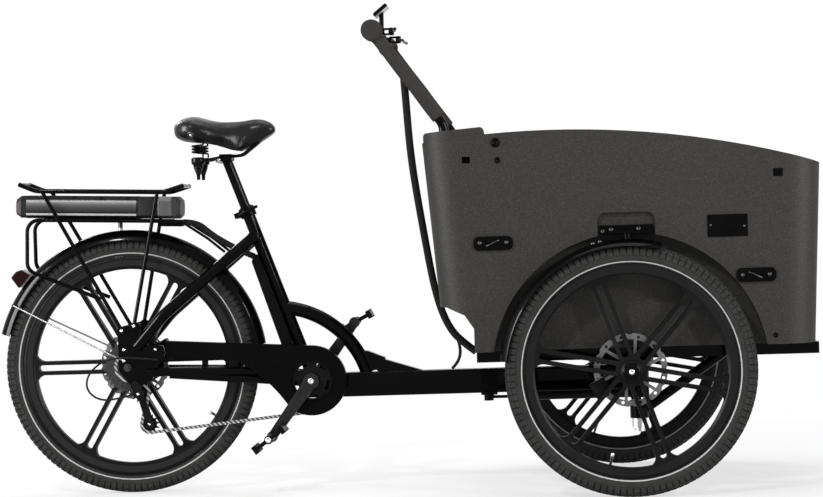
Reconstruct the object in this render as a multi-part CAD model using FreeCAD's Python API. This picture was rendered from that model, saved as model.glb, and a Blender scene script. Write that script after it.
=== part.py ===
import FreeCAD, Part
import math
import os

# Electric cargo tricycle with two front wheels and a swivelling load box.
# Millimetres. x is forward, y is to the rider's left, z is up, and the ground is z = 0.
# Pieces are drawn with the rear axle above x = 0 and saved with the middle of the length at x = 0.

V = FreeCAD.Vector

# Gaps between pieces
SEAT_GAP = 0.2
RUN_GAP = 0.05

# Stance
WHEELBASE = 1280.0
BOX_HALF_W = 385.0
WHEEL_OUTSET = 15.0

# Wheels
REAR_WHEEL_R = 330.0
FRONT_WHEEL_R = 306.0
TYRE_W = 54.0
TYRE_H = 44.0
BEAD_W = 26.0
RIM_W = 30.0
REAR_RIM_H = 34.0
FRONT_RIM_H = 28.0
SPOKE_PAIRS = 6
SPOKE_PAIR_W = 36.0
SPOKE_SLOT_W = 16.0
SPOKE_FLARE = 25.0
SPOKE_HUB_D = 34.0
SPOKE_RIM_D = 20.0
REAR_SPOKE_TURN = 0.0
FRONT_SPOKE_TURN = -11.0
HUB_R = 44.0
FRONT_HUB_R = 32.0
FRONT_HUB_IN = 35.0
FRONT_HUB_OUT = 33.0
HUB_CAP_R = 25.0
HUB_CAP_T = 4.0
REAR_HUB_RIGHT = 31.0
REAR_HUB_LEFT = 38.0

# Axles and disc brakes
REAR_AXLE_R = 6.0
AXLE_NUT_R = 10.0
AXLE_NUT_T = 10.0
STUB_AXLE_R = 7.5
ROTOR_R = 90.0
ROTOR_T = 2.0
ROTOR_BAND = 15.0
ROTOR_BORE_R = 16.0
CALIPER_ANGLE = 209.0
CALIPER_R = 88.0
CALIPER_HALF = 12.0

# Rear frame
CRANK_X = 472.0
CRANK_Z = 282.0
SHELL_R = 22.0
SHELL_HALF = 36.5
MAIN_TUBE_H = 63.0
MAIN_TUBE_W = 44.0
MAIN_TUBE_Z = 234.0
TUBE_WALL = 3.0
SEAT_TUBE_R = 16.0
SEAT_TUBE_TOP_X = 308.0
SEAT_TUBE_TOP_Z = 735.0
CURVED_TUBE_R = 18.0
SEAT_STAY_R = 15.0
CHAIN_STAY_R = 11.0
UNDER_STAY_R = 10.0
STAY_Y = 74.0
DROPOUT_T = 8.0
HEAD_TUBE_R = 27.0
HEAD_TUBE_DROP = 22.0
HEAD_CLEAR = 13.8
KINGPIN_LEAD = 32.0
KINGPIN_R = 14.0
BEARING_R = 21.0
BEARING_T = 12.0
STEER_LIMIT = 40.0
CURVE_FOOT_X = 626.0
CURVE_START_Z = 484.0
CURVE_CORNER = V(522, 0, 437)
CURVE_BEND = 150.0
BRIDGE_Z = 655.0
BRIDGE_R = 14.0
STAY_TOP_Y = 46.0

# Drive
CHAIN_PITCH = 12.7
CHAIN_Y = -52.0
ROLLER_R = 3.85
CHAINRING_TEETH = 40
RING_SLOT_R = 42.0
COG_TEETH = (34, 28, 24, 21, 18, 15, 13)
DRIVE_TEETH = 18
COG_STEP = 4.2
COG_T = 1.8
PULLEY_TEETH = 11
GUIDE_PULLEY_X = 26.0
GUIDE_PULLEY_Z = 262.0
CAGE_LENGTH = 84.0
CAGE_ANGLE_GUESS = -74.0
SPINDLE_R = 8.5
CRANK_LENGTH = 175.0
CRANK_ANGLE = 233.2
ARM_IN_Y = 70.0
ARM_T = 15.0
ARM_GROOVE = 2.5
PEDAL_SPINDLE_R = 7.0
PEDAL_LENGTH = 96.0
PEDAL_W = 88.0
PEDAL_H = 22.0
PEDAL_TILT = 36.0
GUARD_R = 90.0
GUARD_HOLE_R = 52.0
GUARD_OUT_Y = -64.0
GUARD_DEPTH = 22.0
GUARD_WALL = 2.2

# Rack and battery
RACK_X = -60.0
RACK_RISE = 455.5
RACK_TILT = 2.2
RACK_HALF_W = 66.0
RACK_HALF_L = 155.0
RACK_TUBE_R = 6.0
LEG_R = 5.0
BATTERY_H = 59.0
BATTERY_W = 110.0
BATTERY_FRONT = 224.0
BATTERY_REAR = -222.0
BATTERY_CASE_FRONT = 112.0
BATTERY_CASE_REAR = -194.0
BATTERY_DROP = 11.0
DOCK_Y = 48.0
DOCK_R = 5.0
DOCK_FRONT = 178.0
PLUG_FRONT = 208.0

# Rear mudguard
MUDGUARD_GAP = 24.0
MUDGUARD_HALF_W = 33.0
MUDGUARD_DROOP = 8.0
MUDGUARD_T = 2.5
MUDGUARD_FRONT = 8.0
MUDGUARD_REAR = 164.6

# Seat
SEATPOST_R = 13.0
SEATPOST_IN = 190.0
SADDLE_TOP = 970.0
SADDLE_LOW = 907.6
SADDLE_SKIRT = 8.0
SPRING_X = 195.0
SPRING_Y = 48.0
SPRING_Z = 866.0
SPRING_R = 14.0
SPRING_WIRE_R = 2.25
SPRING_TURNS = 3
SPRING_PITCH = 7.4
SPRING_BEND = 5.0

# Load box
BOX_WALL = 6.0
BOX_FLOOR_RISE = 54.0
BOX_REAR_WALL = 158.0
BOX_REAR_DRAFT = 42.0
BOX_FRONT_WALL = 141.0
BOX_FRONT_DRAFT = 22.0
BOX_CORNER_R = 80.0
BOX_REAR_H = 515.0
BOX_HIGH_H = 535.0
BOX_HIGH_BACK = 98.0
BOX_FRONT_H = 437.0
BOX_NOTCH_WALL = 42.0
BOX_NOTCH_H = 111.0
BOX_NOTCH_STEP = 22.0
WELL_GAP = 16.0
WELL_DEPTH = 40.0
POCKET_DEPTH = 12.0
POCKET_REAR = 71.0
POCKET_FRONT = 69.0
POCKET_H = 49.0
POCKET_CORNER_R = 20.0
SHOULDER_LENGTH = 156.0
SHOULDER_W = 74.0
SHOULDER_H = 23.0
FLOOR_PANEL_T = 4.0
FLOOR_PANEL_EDGE = 45.0
SOCKET_W = 20.0
SOCKET_H = 16.0
# Angle from the front axle and distance from the wheel well's edge
TIE_PLATES = ((135.5, 119.4), (35.9, 45.7))
TIE_PLATE_L = 96.0
TIE_PLATE_H = 34.0
TIE_PLATE_T = 5.0
BADGE_PLATE = (54.8, 86.3)
BADGE_PLATE_L = 97.0
BADGE_PLATE_H = 54.0
BADGE_PLATE_T = 2.0

# Front carriage
RAIL_INSET = 93.0
RAIL_W = 36.0
RAIL_H = 28.0
RAIL_REAR_WALL = 39.0
RAIL_FRONT_WALL = 126.0
RAIL_WALL = 3.0
CROSS_W = 40.0
AXLE_PLATE_T = 12.0
BRACE_R = 13.0
BRACE_DROP = 30.0
BRACE_LEAD = 280.0
FENDER_GAP = 14.0
FENDER_T = 2.5
FENDER_HALF_W = 33.0
FENDER_DROOP = 6.0
FENDER_FRONT = 75.0
FENDER_REAR = 174.0
DAMPER_Y = -48.0
DAMPER_DROP = 8.0
DAMPER_LENGTH = 386.0
DAMPER_R = 11.0
DAMPER_ROD_R = 4.0
DAMPER_PIN_R = 4.0

# Handlebar
BAR_R = 12.0
BAR_COVER_R = 16.5
BAR_END_R = 26.5
BAR_END_W = 42.0
BAR_INSET = 45.0
BAR_SETBACK = 56.0
BAR_LEAN = 169.0
BAR_FOOT_DROP = 25.0
BAR_FOOT_T = 14.0
BAR_KINK_H = 43.0
BAR_TOP_H = 281.0
BAR_BEND = 45.0
PERCH_Y = 165.0
LEVER_REACH = 46.0

# Derived places
WHEEL_Y = BOX_HALF_W + WHEEL_OUTSET
FENDER_R = FRONT_WHEEL_R + FENDER_GAP
WELL_R = FENDER_R + WELL_GAP
WELL_HALF_W = BOX_HALF_W - WELL_DEPTH
BOX_FLOOR_Z = FRONT_WHEEL_R + BOX_FLOOR_RISE
BOX_REAR_TOP = WHEELBASE - WELL_R - BOX_REAR_WALL
BOX_REAR_LOW = BOX_REAR_TOP + BOX_REAR_DRAFT
BOX_FRONT_TOP = WHEELBASE + WELL_R + BOX_FRONT_WALL
BOX_FRONT_LOW = BOX_FRONT_TOP - BOX_FRONT_DRAFT
BOX_RIM_REAR_Z = BOX_FLOOR_Z + BOX_REAR_H
BOX_RIM_HIGH_Z = BOX_FLOOR_Z + BOX_HIGH_H
BOX_RIM_HIGH_X = WHEELBASE - BOX_HIGH_BACK
BOX_RIM_FRONT_Z = BOX_FLOOR_Z + BOX_FRONT_H
BOX_NOTCH_X = WHEELBASE - WELL_R - BOX_NOTCH_WALL
BOX_NOTCH_Z = BOX_FLOOR_Z + BOX_NOTCH_H
RAIL_Y = WHEEL_Y - RAIL_INSET
RAIL_Z = BOX_FLOOR_Z - RAIL_H - SEAT_GAP
RAIL_REAR = WHEELBASE - WELL_R - RAIL_REAR_WALL
RAIL_FRONT = WHEELBASE + WELL_R + RAIL_FRONT_WALL
AXLE_PLATE_OUT = RAIL_Y + RAIL_W / 2 + AXLE_PLATE_T
KINGPIN_X = WHEELBASE + KINGPIN_LEAD
BRACE_X = WHEELBASE + BRACE_LEAD
# Middle and width of each cross member, and half the width of its solid middle
CROSS_MEMBERS = (
    (RAIL_REAR + CROSS_W / 2, CROSS_W, 3.0),
    (KINGPIN_X, 2 * CROSS_W, 44.0),
    (BRACE_X, CROSS_W, 22.0),
    (RAIL_FRONT - CROSS_W / 2, CROSS_W, 3.0),
)
DRIVE_COG = COG_TEETH.index(DRIVE_TEETH)
MAIN_TUBE_TOP = MAIN_TUBE_Z + MAIN_TUBE_H
HEAD_TUBE_LOW = MAIN_TUBE_Z - HEAD_TUBE_DROP
HEAD_TUBE_HIGH = RAIL_Z - HEAD_CLEAR
BRACE_Z = HEAD_TUBE_LOW - BRACE_DROP
DAMPER_Z = MAIN_TUBE_Z - DAMPER_DROP
DAMPER_REAR = KINGPIN_X - DAMPER_LENGTH
FOOT_Y = -STAY_Y - DROPOUT_T / 2 - SEAT_GAP - LEG_R - 1.0
GUARD_ARC_R = REAR_WHEEL_R + MUDGUARD_GAP
RACK_Z = REAR_WHEEL_R + RACK_RISE
BAR_HALF_W = BOX_HALF_W - BAR_INSET
BAR_FOOT_X = BOX_REAR_TOP + BAR_SETBACK
BAR_TOP_X = BAR_FOOT_X - BAR_LEAN
BAR_FOOT_Z = BOX_RIM_REAR_Z - BAR_FOOT_DROP
BAR_KINK_Z = BOX_RIM_REAR_Z + BAR_KINK_H
BAR_TOP_Z = BOX_RIM_REAR_Z + BAR_TOP_H
DROPOUT_Y = STAY_Y - DROPOUT_T / 2
SEAT_SLOPE = (CRANK_X - SEAT_TUBE_TOP_X) / (SEAT_TUBE_TOP_Z - CRANK_Z)
SEAT_UP = V(-SEAT_SLOPE, 0, 1).normalize()
SEAT_BACK = V(-1, 0, -SEAT_SLOPE).normalize()
SEAT_TOP = V(SEAT_TUBE_TOP_X, 0, SEAT_TUBE_TOP_Z)
REAR_CENTRE = V(0, 0, REAR_WHEEL_R)
CRANK_CENTRE = V(CRANK_X, 0, CRANK_Z)
REAR_REACH = GUARD_ARC_R * math.cos(math.radians(MUDGUARD_REAR))
MID_X = (BOX_FRONT_TOP + REAR_REACH) / 2
Y_AXIS = V(0, 1, 0)
TURN_UP = V(0, -1, 0)
ORIGIN = V(0, 0, 0)


def rod(radius, start, end):
    """Round bar between two points."""
    along = end - start
    return Part.makeCylinder(radius, along.Length, start, along)


def sleeve(outer, inner, start, end):
    """Round tube between two points."""
    return rod(outer, start, end).cut(rod(inner, start, end))


def block(x, y, z):
    """Box from its ranges along x, y and z."""
    return Part.makeBox(x[1] - x[0], y[1] - y[0], z[1] - z[0], V(x[0], y[0], z[0]))


def flip(shape):
    """Copy on the other side of the centre plane."""
    return shape.mirror(ORIGIN, Y_AXIS)


def moved(shape, offset):
    """Copy shifted by a vector."""
    copy = shape.copy()
    copy.translate(offset)
    return copy


def turned_to(shape, angle, centre=ORIGIN):
    """Copy turned about the y axis, positive from forward to up."""
    copy = shape.copy()
    copy.rotate(centre, TURN_UP, angle)
    return copy


def corner_arc(before, corner, after, radius):
    """Tangent arc at a corner: start, middle and end. None takes the largest sound radius."""
    into = (corner - before).normalize()
    out = (after - corner).normalize()
    half = into.getAngle(out) / 2
    if radius is None:
        shorter = min((corner - before).Length, (after - corner).Length)
        radius = 0.45 * shorter / math.tan(half)
    setback = radius * math.tan(half)
    middle = corner + (out - into).normalize() * (radius / math.cos(half) - radius)
    return corner - into * setback, middle, corner + out * setback, radius


def bent_path(points, radius):
    """Open wire of straight runs joined by tangent arcs, and its arc radii."""
    edges = []
    radii = []
    here = points[0]
    for before, corner, after in zip(points, points[1:], points[2:]):
        start, middle, end, used = corner_arc(before, corner, after, radius)
        edges.append(Part.makeLine(here, start))
        edges.append(Part.Arc(start, middle, end).toShape())
        radii.append(used)
        here = end
    edges.append(Part.makeLine(here, points[-1]))
    return Part.Wire(edges), radii


def rounded_outline(points, radius):
    """Closed wire through corner points, with every corner rounded."""
    count = len(points)
    arcs = [corner_arc(points[i - 1], points[i], points[(i + 1) % count], radius) for i in range(count)]
    edges = []
    for i in range(count):
        start, middle, end, used = arcs[i]
        edges.append(Part.Arc(start, middle, end).toShape())
        edges.append(Part.makeLine(end, arcs[(i + 1) % count][0]))
    return Part.Wire(edges)


def sweep(path, radius):
    """Round bar along a wire."""
    edge = path.OrderedEdges[0]
    first = edge.FirstParameter
    ring = Part.Wire([Part.makeCircle(radius, edge.valueAt(first), edge.tangentAt(first))])
    return path.makePipeShell([ring], True, False)


def bent_rod(points, bend, radius):
    """Round bar bent at each corner."""
    path, radii = bent_path(points, bend)
    return sweep(path, radius)


def bent_tube(points, bend, outer, inner):
    """Round tube bent at each corner."""
    path, radii = bent_path(points, bend)
    return sweep(path, outer).cut(sweep(path, inner))


def cable(name, points, radius):
    """Flexible lead with the largest arc that each corner allows."""
    path, radii = bent_path(points, None)
    solid = sweep(path, radius)
    share = solid.Volume / (math.pi * radius ** 2 * path.Length)
    print(f"{name}: {path.Length:.0f} mm, least radius {min(radii):.0f} mm, volume share {share:.4f}")
    return solid


def polygon_plate(outline, y0, y1):
    """Plate with straight edges through (x, z) points, between two y planes."""
    points = [V(x, y0, z) for x, z in outline]
    return Part.Face(Part.makePolygon(points + points[:1])).extrude(V(0, y1 - y0, 0))


def rounded_plate(outline, radius, y0, y1):
    """Plate with rounded corners through (x, z) points, between two y planes."""
    points = [V(x, y0, z) for x, z in outline]
    return Part.Face(rounded_outline(points, radius)).extrude(V(0, y1 - y0, 0))


def turned(outline):
    """Solid turned about the y axis from straight (r, y) points."""
    points = [V(r, y, 0) for r, y in outline]
    return Part.Face(Part.makePolygon(points + points[:1])).revolve(ORIGIN, Y_AXIS, 360)


def fused(pieces):
    """One solid from pieces that overlap."""
    return pieces[0].multiFuse(pieces[1:]).removeSplitter()


def save(name, *pieces):
    """Write one node, which may be a group of separate solids."""
    solids = [solid for piece in pieces for solid in piece.Solids]
    group = solids[0].copy() if len(solids) == 1 else Part.makeCompound(solids)
    group.translate(V(-MID_X, 0, 0))
    group.exportStep(f"parts/{name}.step")


# Wheels


def tyre(wheel_r):
    """Tyre with a rounded tread and bulging walls, about the origin."""
    bead_r = wheel_r - TYRE_H + SEAT_GAP
    half = BEAD_W / 2
    bulge = TYRE_W / 2
    shoulder = V(wheel_r - 9, bulge * 0.8, 0)
    wall = V(wheel_r - TYRE_H * 0.55, bulge, 0)
    crown = V(wheel_r, 0, 0)
    bead = V(bead_r, half, 0)

    def other(point):
        return V(point.x, -point.y, 0)

    edges = [
        Part.makeLine(other(bead), bead),
        Part.Arc(bead, wall, shoulder).toShape(),
        Part.Arc(shoulder, crown, other(shoulder)).toShape(),
        Part.Arc(other(shoulder), other(wall), other(bead)).toShape(),
    ]
    return Part.Face(Part.Wire(edges)).revolve(ORIGIN, Y_AXIS, 360)


def spoke_pair(hub_r, rim_inner):
    """Two parallel bars with a rounded slot between them and flared ends at the rim, along +x."""
    half = SPOKE_PAIR_W / 2
    root = hub_r - 6
    tip = rim_inner + 6
    neck = rim_inner - SPOKE_FLARE
    wide = half + SPOKE_FLARE
    lean = SPOKE_FLARE * math.sqrt(0.5)
    low = -SPOKE_HUB_D / 2

    def at(x, z):
        return V(x, low, z)

    edges = [
        Part.makeLine(at(root, -half), at(neck, -half)),
        Part.Arc(at(neck, -half), at(neck + lean, lean - wide), at(rim_inner, -wide)).toShape(),
        Part.makeLine(at(rim_inner, -wide), at(tip, -wide)),
        Part.makeLine(at(tip, -wide), at(tip, wide)),
        Part.makeLine(at(tip, wide), at(rim_inner, wide)),
        Part.Arc(at(rim_inner, wide), at(neck + lean, wide - lean), at(neck, half)).toShape(),
        Part.makeLine(at(neck, half), at(root, half)),
        Part.makeLine(at(root, half), at(root, -half)),
    ]
    bars = Part.Face(Part.Wire(edges)).extrude(V(0, SPOKE_HUB_D, 0))
    slot_r = SPOKE_SLOT_W / 2
    slot_in = hub_r + slot_r + 4
    slot_out = rim_inner - SPOKE_SLOT_W
    slot = block((slot_in, slot_out), (low, -low), (-slot_r, slot_r))
    for x in (slot_in, slot_out):
        slot = slot.fuse(rod(slot_r, V(x, low, 0), V(x, -low, 0)))
    return bars.cut(slot)


def cast_wheel(wheel_r, rim_h, hub_r, hub, turn):
    """One-piece cast wheel: rim, spoke pairs that thin towards the rim, and a turned hub."""
    rim_outer = wheel_r - TYRE_H
    rim_inner = rim_outer - rim_h
    half = RIM_W / 2
    rim = turned([
        (rim_inner, -half + 6), (rim_inner + 5, -half + 2), (rim_outer - 7, -half), (rim_outer, -half + 2),
        (rim_outer, half - 2), (rim_outer - 7, half), (rim_inner + 5, half - 2), (rim_inner, half - 6),
    ])
    thin = SPOKE_RIM_D / 2
    thick = SPOKE_HUB_D / 2
    taper = turned([(0, -thick), (hub_r, -thick), (rim_outer, -thin), (rim_outer, thin), (hub_r, thick),
                    (0, thick)])
    pair = spoke_pair(hub_r, rim_inner).common(taper)
    spokes = [turned_to(pair, turn + 360 * k / SPOKE_PAIRS) for k in range(SPOKE_PAIRS)]
    core = turned([(0, -thick), (hub_r, -thick), (hub_r, thick), (0, thick)])
    wheel = fused([rim, core] + spokes + [turned(hub)])
    return wheel


def brake_rotor(y0):
    """Disc with a wavy edge, slanted arms and a bolted centre, against the plane y0 towards +y."""
    y1 = y0 + ROTOR_T
    inner = ROTOR_R - ROTOR_BAND
    centre_r = ROTOR_BORE_R + 10
    band = turned([(inner, y0), (ROTOR_R, y0), (ROTOR_R, y1), (inner, y1)])
    boss = turned([(ROTOR_BORE_R, y0), (centre_r, y0), (centre_r, y1), (ROTOR_BORE_R, y1)])
    arm = polygon_plate([(centre_r - 5, -4), (inner + 5, 26), (inner + 5, 34), (centre_r - 5, 5)], y0, y1)
    arms = [turned_to(arm, 60 * k) for k in range(6)]
    disc = fused([band, boss] + arms)
    notch = rod(9, V(ROTOR_R + 5.5, y0 - 1, 0), V(ROTOR_R + 5.5, y1 + 1, 0))
    vent = rod(4, V(ROTOR_R - 8, y0 - 1, 0), V(ROTOR_R - 8, y1 + 1, 0))
    cutters = [turned_to(notch, 30 * k) for k in range(12)]
    cutters += [turned_to(vent, 30 * k + 15) for k in range(12)]
    return disc.cut(Part.makeCompound(cutters))


def caliper(y0, away, reach):
    """Disc brake caliper along +x: two halves bridged outside the disc, and a foot towards the frame."""
    gap = 3.0
    inner = CALIPER_R - 22
    outer = ROTOR_R + 16
    halves = []
    mid = y0 + ROTOR_T / 2
    for low, high in ((mid - away * gap, mid - away * (gap + 10)),
                      (mid + away * gap, mid + away * (gap + 20))):
        y = (min(low, high), max(low, high))
        halves.append(block((inner, outer), y, (-CALIPER_HALF - 8, CALIPER_HALF + 8)))
    ends = (mid - away * (gap + 10), mid + away * (gap + 20))
    bridge = block((ROTOR_R + 4, outer), (min(ends), max(ends)), (-CALIPER_HALF, CALIPER_HALF))
    foot_ends = (mid + away * (gap + 8), mid + away * reach)
    foot = block((inner + 6, outer - 8), (min(foot_ends), max(foot_ends)),
                 (-CALIPER_HALF + 2, CALIPER_HALF - 2))
    return fused(halves + [bridge, foot])


def make_rear_wheel():
    bore = REAR_AXLE_R + RUN_GAP
    right = -REAR_HUB_RIGHT
    left = REAR_HUB_LEFT
    hub = [(0, right), (HUB_R - 14, right), (HUB_R, right + 7), (HUB_R, left - 14), (HUB_R - 14, left - 8),
           (HUB_R - 14, left), (0, left)]
    wheel = cast_wheel(REAR_WHEEL_R, REAR_RIM_H, HUB_R, hub, REAR_SPOKE_TURN)
    wheel = wheel.cut(rod(bore, V(0, right - 1, 0), V(0, left + 1, 0)))
    save("rear_tyre", moved(tyre(REAR_WHEEL_R), REAR_CENTRE))
    save("rear_wheel", moved(wheel, REAR_CENTRE))
    save("rear_rotor", moved(brake_rotor(left), REAR_CENTRE))


def make_front_wheels():
    bore = STUB_AXLE_R + RUN_GAP
    out = -FRONT_HUB_OUT
    inside = FRONT_HUB_IN
    hub = [(0, out), (HUB_CAP_R - 3, out), (HUB_CAP_R, out + 3), (HUB_CAP_R, out + 8),
           (FRONT_HUB_R - 5, out + 11),
           (FRONT_HUB_R - 5, inside - 17), (FRONT_HUB_R, inside - 13), (FRONT_HUB_R, inside), (0, inside)]
    wheel = cast_wheel(FRONT_WHEEL_R, FRONT_RIM_H, FRONT_HUB_R, hub, FRONT_SPOKE_TURN)
    wheel = wheel.cut(rod(bore, V(0, out + HUB_CAP_T, 0), V(0, inside + 1, 0)))
    centre = V(WHEELBASE, -WHEEL_Y, FRONT_WHEEL_R)
    pieces = {
        "front_tyre": moved(tyre(FRONT_WHEEL_R), centre),
        "front_wheel": moved(wheel, centre),
        "front_rotor": moved(brake_rotor(inside), centre),
    }
    for name, piece in pieces.items():
        save(name + "_right", piece)
        save(name + "_left", flip(piece))


# Rear frame


def seat_tube_point(height):
    """Point on the seat tube's axis at a height above the ground."""
    return V(CRANK_X - SEAT_SLOPE * (height - CRANK_Z), 0, height)


def main_tube_section(x, inset):
    """Closed outline of the main tube: upright upper sides, lower sides drawn in towards the bottom."""
    half = MAIN_TUBE_W / 2 - inset
    foot = MAIN_TUBE_W * 0.3 - inset * 0.7
    low = MAIN_TUBE_Z + inset
    top = MAIN_TUBE_TOP - inset
    waist = MAIN_TUBE_Z + MAIN_TUBE_H * 0.45
    corners = [V(x, -foot, low), V(x, foot, low), V(x, half, waist), V(x, half, top), V(x, -half, top),
               V(x, -half, waist)]
    return Part.Face(rounded_outline(corners, 5.0))


def make_main_tube():
    rear = CRANK_X - SHELL_R - 10
    outer = main_tube_section(rear, 0).extrude(V(KINGPIN_X - rear, 0, 0))
    inner = main_tube_section(rear + TUBE_WALL, TUBE_WALL).extrude(V(KINGPIN_X - rear, 0, 0))
    tube = outer.cut(inner)
    shell = rod(SHELL_R + SEAT_GAP, V(CRANK_X, -SHELL_HALF - 1, CRANK_Z), V(CRANK_X, SHELL_HALF + 1, CRANK_Z))
    head = rod(HEAD_TUBE_R + SEAT_GAP, V(KINGPIN_X, 0, HEAD_TUBE_LOW), V(KINGPIN_X, 0, HEAD_TUBE_HIGH))
    tube = tube.cut(shell).cut(head)
    largest = max(tube.Solids, key=lambda solid: solid.Volume)
    save("main_tube", largest)


def make_seat_tube():
    tube = sleeve(SEAT_TUBE_R, SEATPOST_R + RUN_GAP, CRANK_CENTRE, SEAT_TOP)
    floor = block((CRANK_X - 200, CRANK_X + 200), (-60, 60), (0, MAIN_TUBE_TOP + SEAT_GAP))
    shell = rod(SHELL_R + SEAT_GAP, V(CRANK_X, -60, CRANK_Z), V(CRANK_X, 60, CRANK_Z))
    save("seat_tube", tube.cut(floor).cut(shell))


def curved_tube_path():
    """Centre line of the step-through tube, run on into the main tube that trims it."""
    foot = V(CURVE_FOOT_X, 0, MAIN_TUBE_TOP)
    drop = (foot - CURVE_CORNER).normalize()
    return [seat_tube_point(CURVE_START_Z), CURVE_CORNER, foot + drop * 20]


def make_curved_tube():
    tube = bent_tube(curved_tube_path(), CURVE_BEND, CURVED_TUBE_R, CURVED_TUBE_R - TUBE_WALL)
    floor = block((CRANK_X, CURVE_FOOT_X + 100), (-60, 60), (0, MAIN_TUBE_TOP + SEAT_GAP))
    save("curved_tube", tube.cut(floor).cut(rod(SEAT_TUBE_R + SEAT_GAP, CRANK_CENTRE, SEAT_TOP)))


def seat_stay_path():
    """Right seat stay, from the bridge behind the seat tube to the dropout."""
    top = seat_tube_point(BRIDGE_Z) - V(SEAT_TUBE_R * 0.4, 0, 0)
    return [V(top.x, -STAY_TOP_Y, BRIDGE_Z), V(95, -STAY_Y, 462), V(24, -STAY_Y, 380)]


def chain_stay_path():
    """Right chain stay, from the dropout to the bottom bracket shell."""
    return [V(46, -STAY_Y, 316), V(335, -45, 309), V(CRANK_X - 4, -32, 292)]


def make_rear_stays():
    seat_stay = bent_rod(seat_stay_path(), 150.0, SEAT_STAY_R)
    top = seat_stay_path()[0]
    left_top = V(top.x, -top.y, top.z)
    seat_stay = seat_stay.cut(rod(BRIDGE_R + SEAT_GAP, top - V(0, 30, 0), left_top))
    bridge = rod(BRIDGE_R, top - V(0, 12, 0), left_top + V(0, 12, 0))
    bridge = bridge.cut(rod(SEAT_TUBE_R + SEAT_GAP, CRANK_CENTRE, SEAT_TOP))
    chain_stay = bent_rod(chain_stay_path(), 300.0, CHAIN_STAY_R)
    under = bent_rod([V(106, -68, 308), V(335, -45, 287), V(CRANK_X - 4, -32, 274)], 300.0, UNDER_STAY_R)
    shell = rod(SHELL_R + SEAT_GAP, V(CRANK_X, -60, CRANK_Z), V(CRANK_X, 60, CRANK_Z))
    chain_stay = fused([chain_stay, under]).cut(shell)
    save("rear_stays", seat_stay, flip(seat_stay), bridge, chain_stay, flip(chain_stay))


def make_frame_lugs():
    """Bottom bracket shell, head tube, dropout plates and the gusset under the curved tube."""
    y = V(0, SHELL_HALF, 0)
    shell = sleeve(SHELL_R, SHELL_R - 4, CRANK_CENTRE - y, CRANK_CENTRE + y)
    low = V(KINGPIN_X, 0, HEAD_TUBE_LOW)
    high = V(KINGPIN_X, 0, HEAD_TUBE_HIGH)
    head = sleeve(HEAD_TUBE_R, BEARING_R + SEAT_GAP, low, high)
    axle_z = REAR_WHEEL_R
    outline = [(-24, axle_z - 8), (-24, axle_z + 104), (32, axle_z + 116), (54, axle_z + 56),
               (94, axle_z + 54),
               (96, axle_z + 22), (70, axle_z - 4), (64, axle_z - 32), (26, axle_z - 52), (4, axle_z - 46)]
    plate = rounded_plate(outline, 6.0, -STAY_Y - DROPOUT_T / 2, -STAY_Y + DROPOUT_T / 2)
    plate = plate.cut(rod(REAR_AXLE_R + SEAT_GAP, V(0, -STAY_Y - 20, axle_z), V(0, -STAY_Y + 20, axle_z)))
    plate = plate.cut(bent_rod(seat_stay_path(), 150.0, SEAT_STAY_R + SEAT_GAP))
    plate = plate.cut(bent_rod(chain_stay_path(), 300.0, CHAIN_STAY_R + SEAT_GAP))
    top = MAIN_TUBE_TOP + SEAT_GAP
    half = CURVED_TUBE_R - 4
    gusset = polygon_plate([(CURVE_FOOT_X - 50, top), (CURVE_FOOT_X - 8, top + 44),
                            (CURVE_FOOT_X + 130, top)], -half, half)
    gusset = gusset.cut(bent_rod(curved_tube_path(), CURVE_BEND, CURVED_TUBE_R + SEAT_GAP))
    gusset = max(gusset.Solids, key=lambda solid: solid.CenterOfMass.x)
    save("frame_lugs", shell, head, plate, flip(plate), gusset)


def make_frame_bearings():
    """Two bearings in the head tube and two in the bottom bracket shell."""
    rings = []
    for z in (HEAD_TUBE_LOW, HEAD_TUBE_HIGH - BEARING_T):
        rings.append(sleeve(BEARING_R, KINGPIN_R + RUN_GAP, V(KINGPIN_X, 0, z),
                            V(KINGPIN_X, 0, z + BEARING_T)))
    ring = sleeve(SHELL_R - 4 - SEAT_GAP, SPINDLE_R + RUN_GAP, CRANK_CENTRE - V(0, SHELL_HALF, 0),
                  CRANK_CENTRE - V(0, SHELL_HALF - 10, 0))
    save("frame_bearings", *rings, ring, flip(ring))


def case_corners():
    """Corners of the controller case's side, the first two being the ends of its sloping top."""
    near = SEAT_TUBE_R + SEAT_GAP
    places = ((622, near), (604, near + 19), (376, near + 27), (356, near + 10), (356, near))
    return [seat_tube_point(height) + SEAT_BACK * back for height, back in places]


def make_controller_case():
    """Long case behind the seat tube, deeper towards the bottom."""
    case = rounded_plate([(point.x, point.z) for point in case_corners()], 4.0, -26, 26)
    tail = rod(REAR_WHEEL_R + 24, REAR_CENTRE - V(0, 60, 0), REAR_CENTRE + V(0, 60, 0))
    save("controller_case", case.cut(tail))


# Seat


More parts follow.
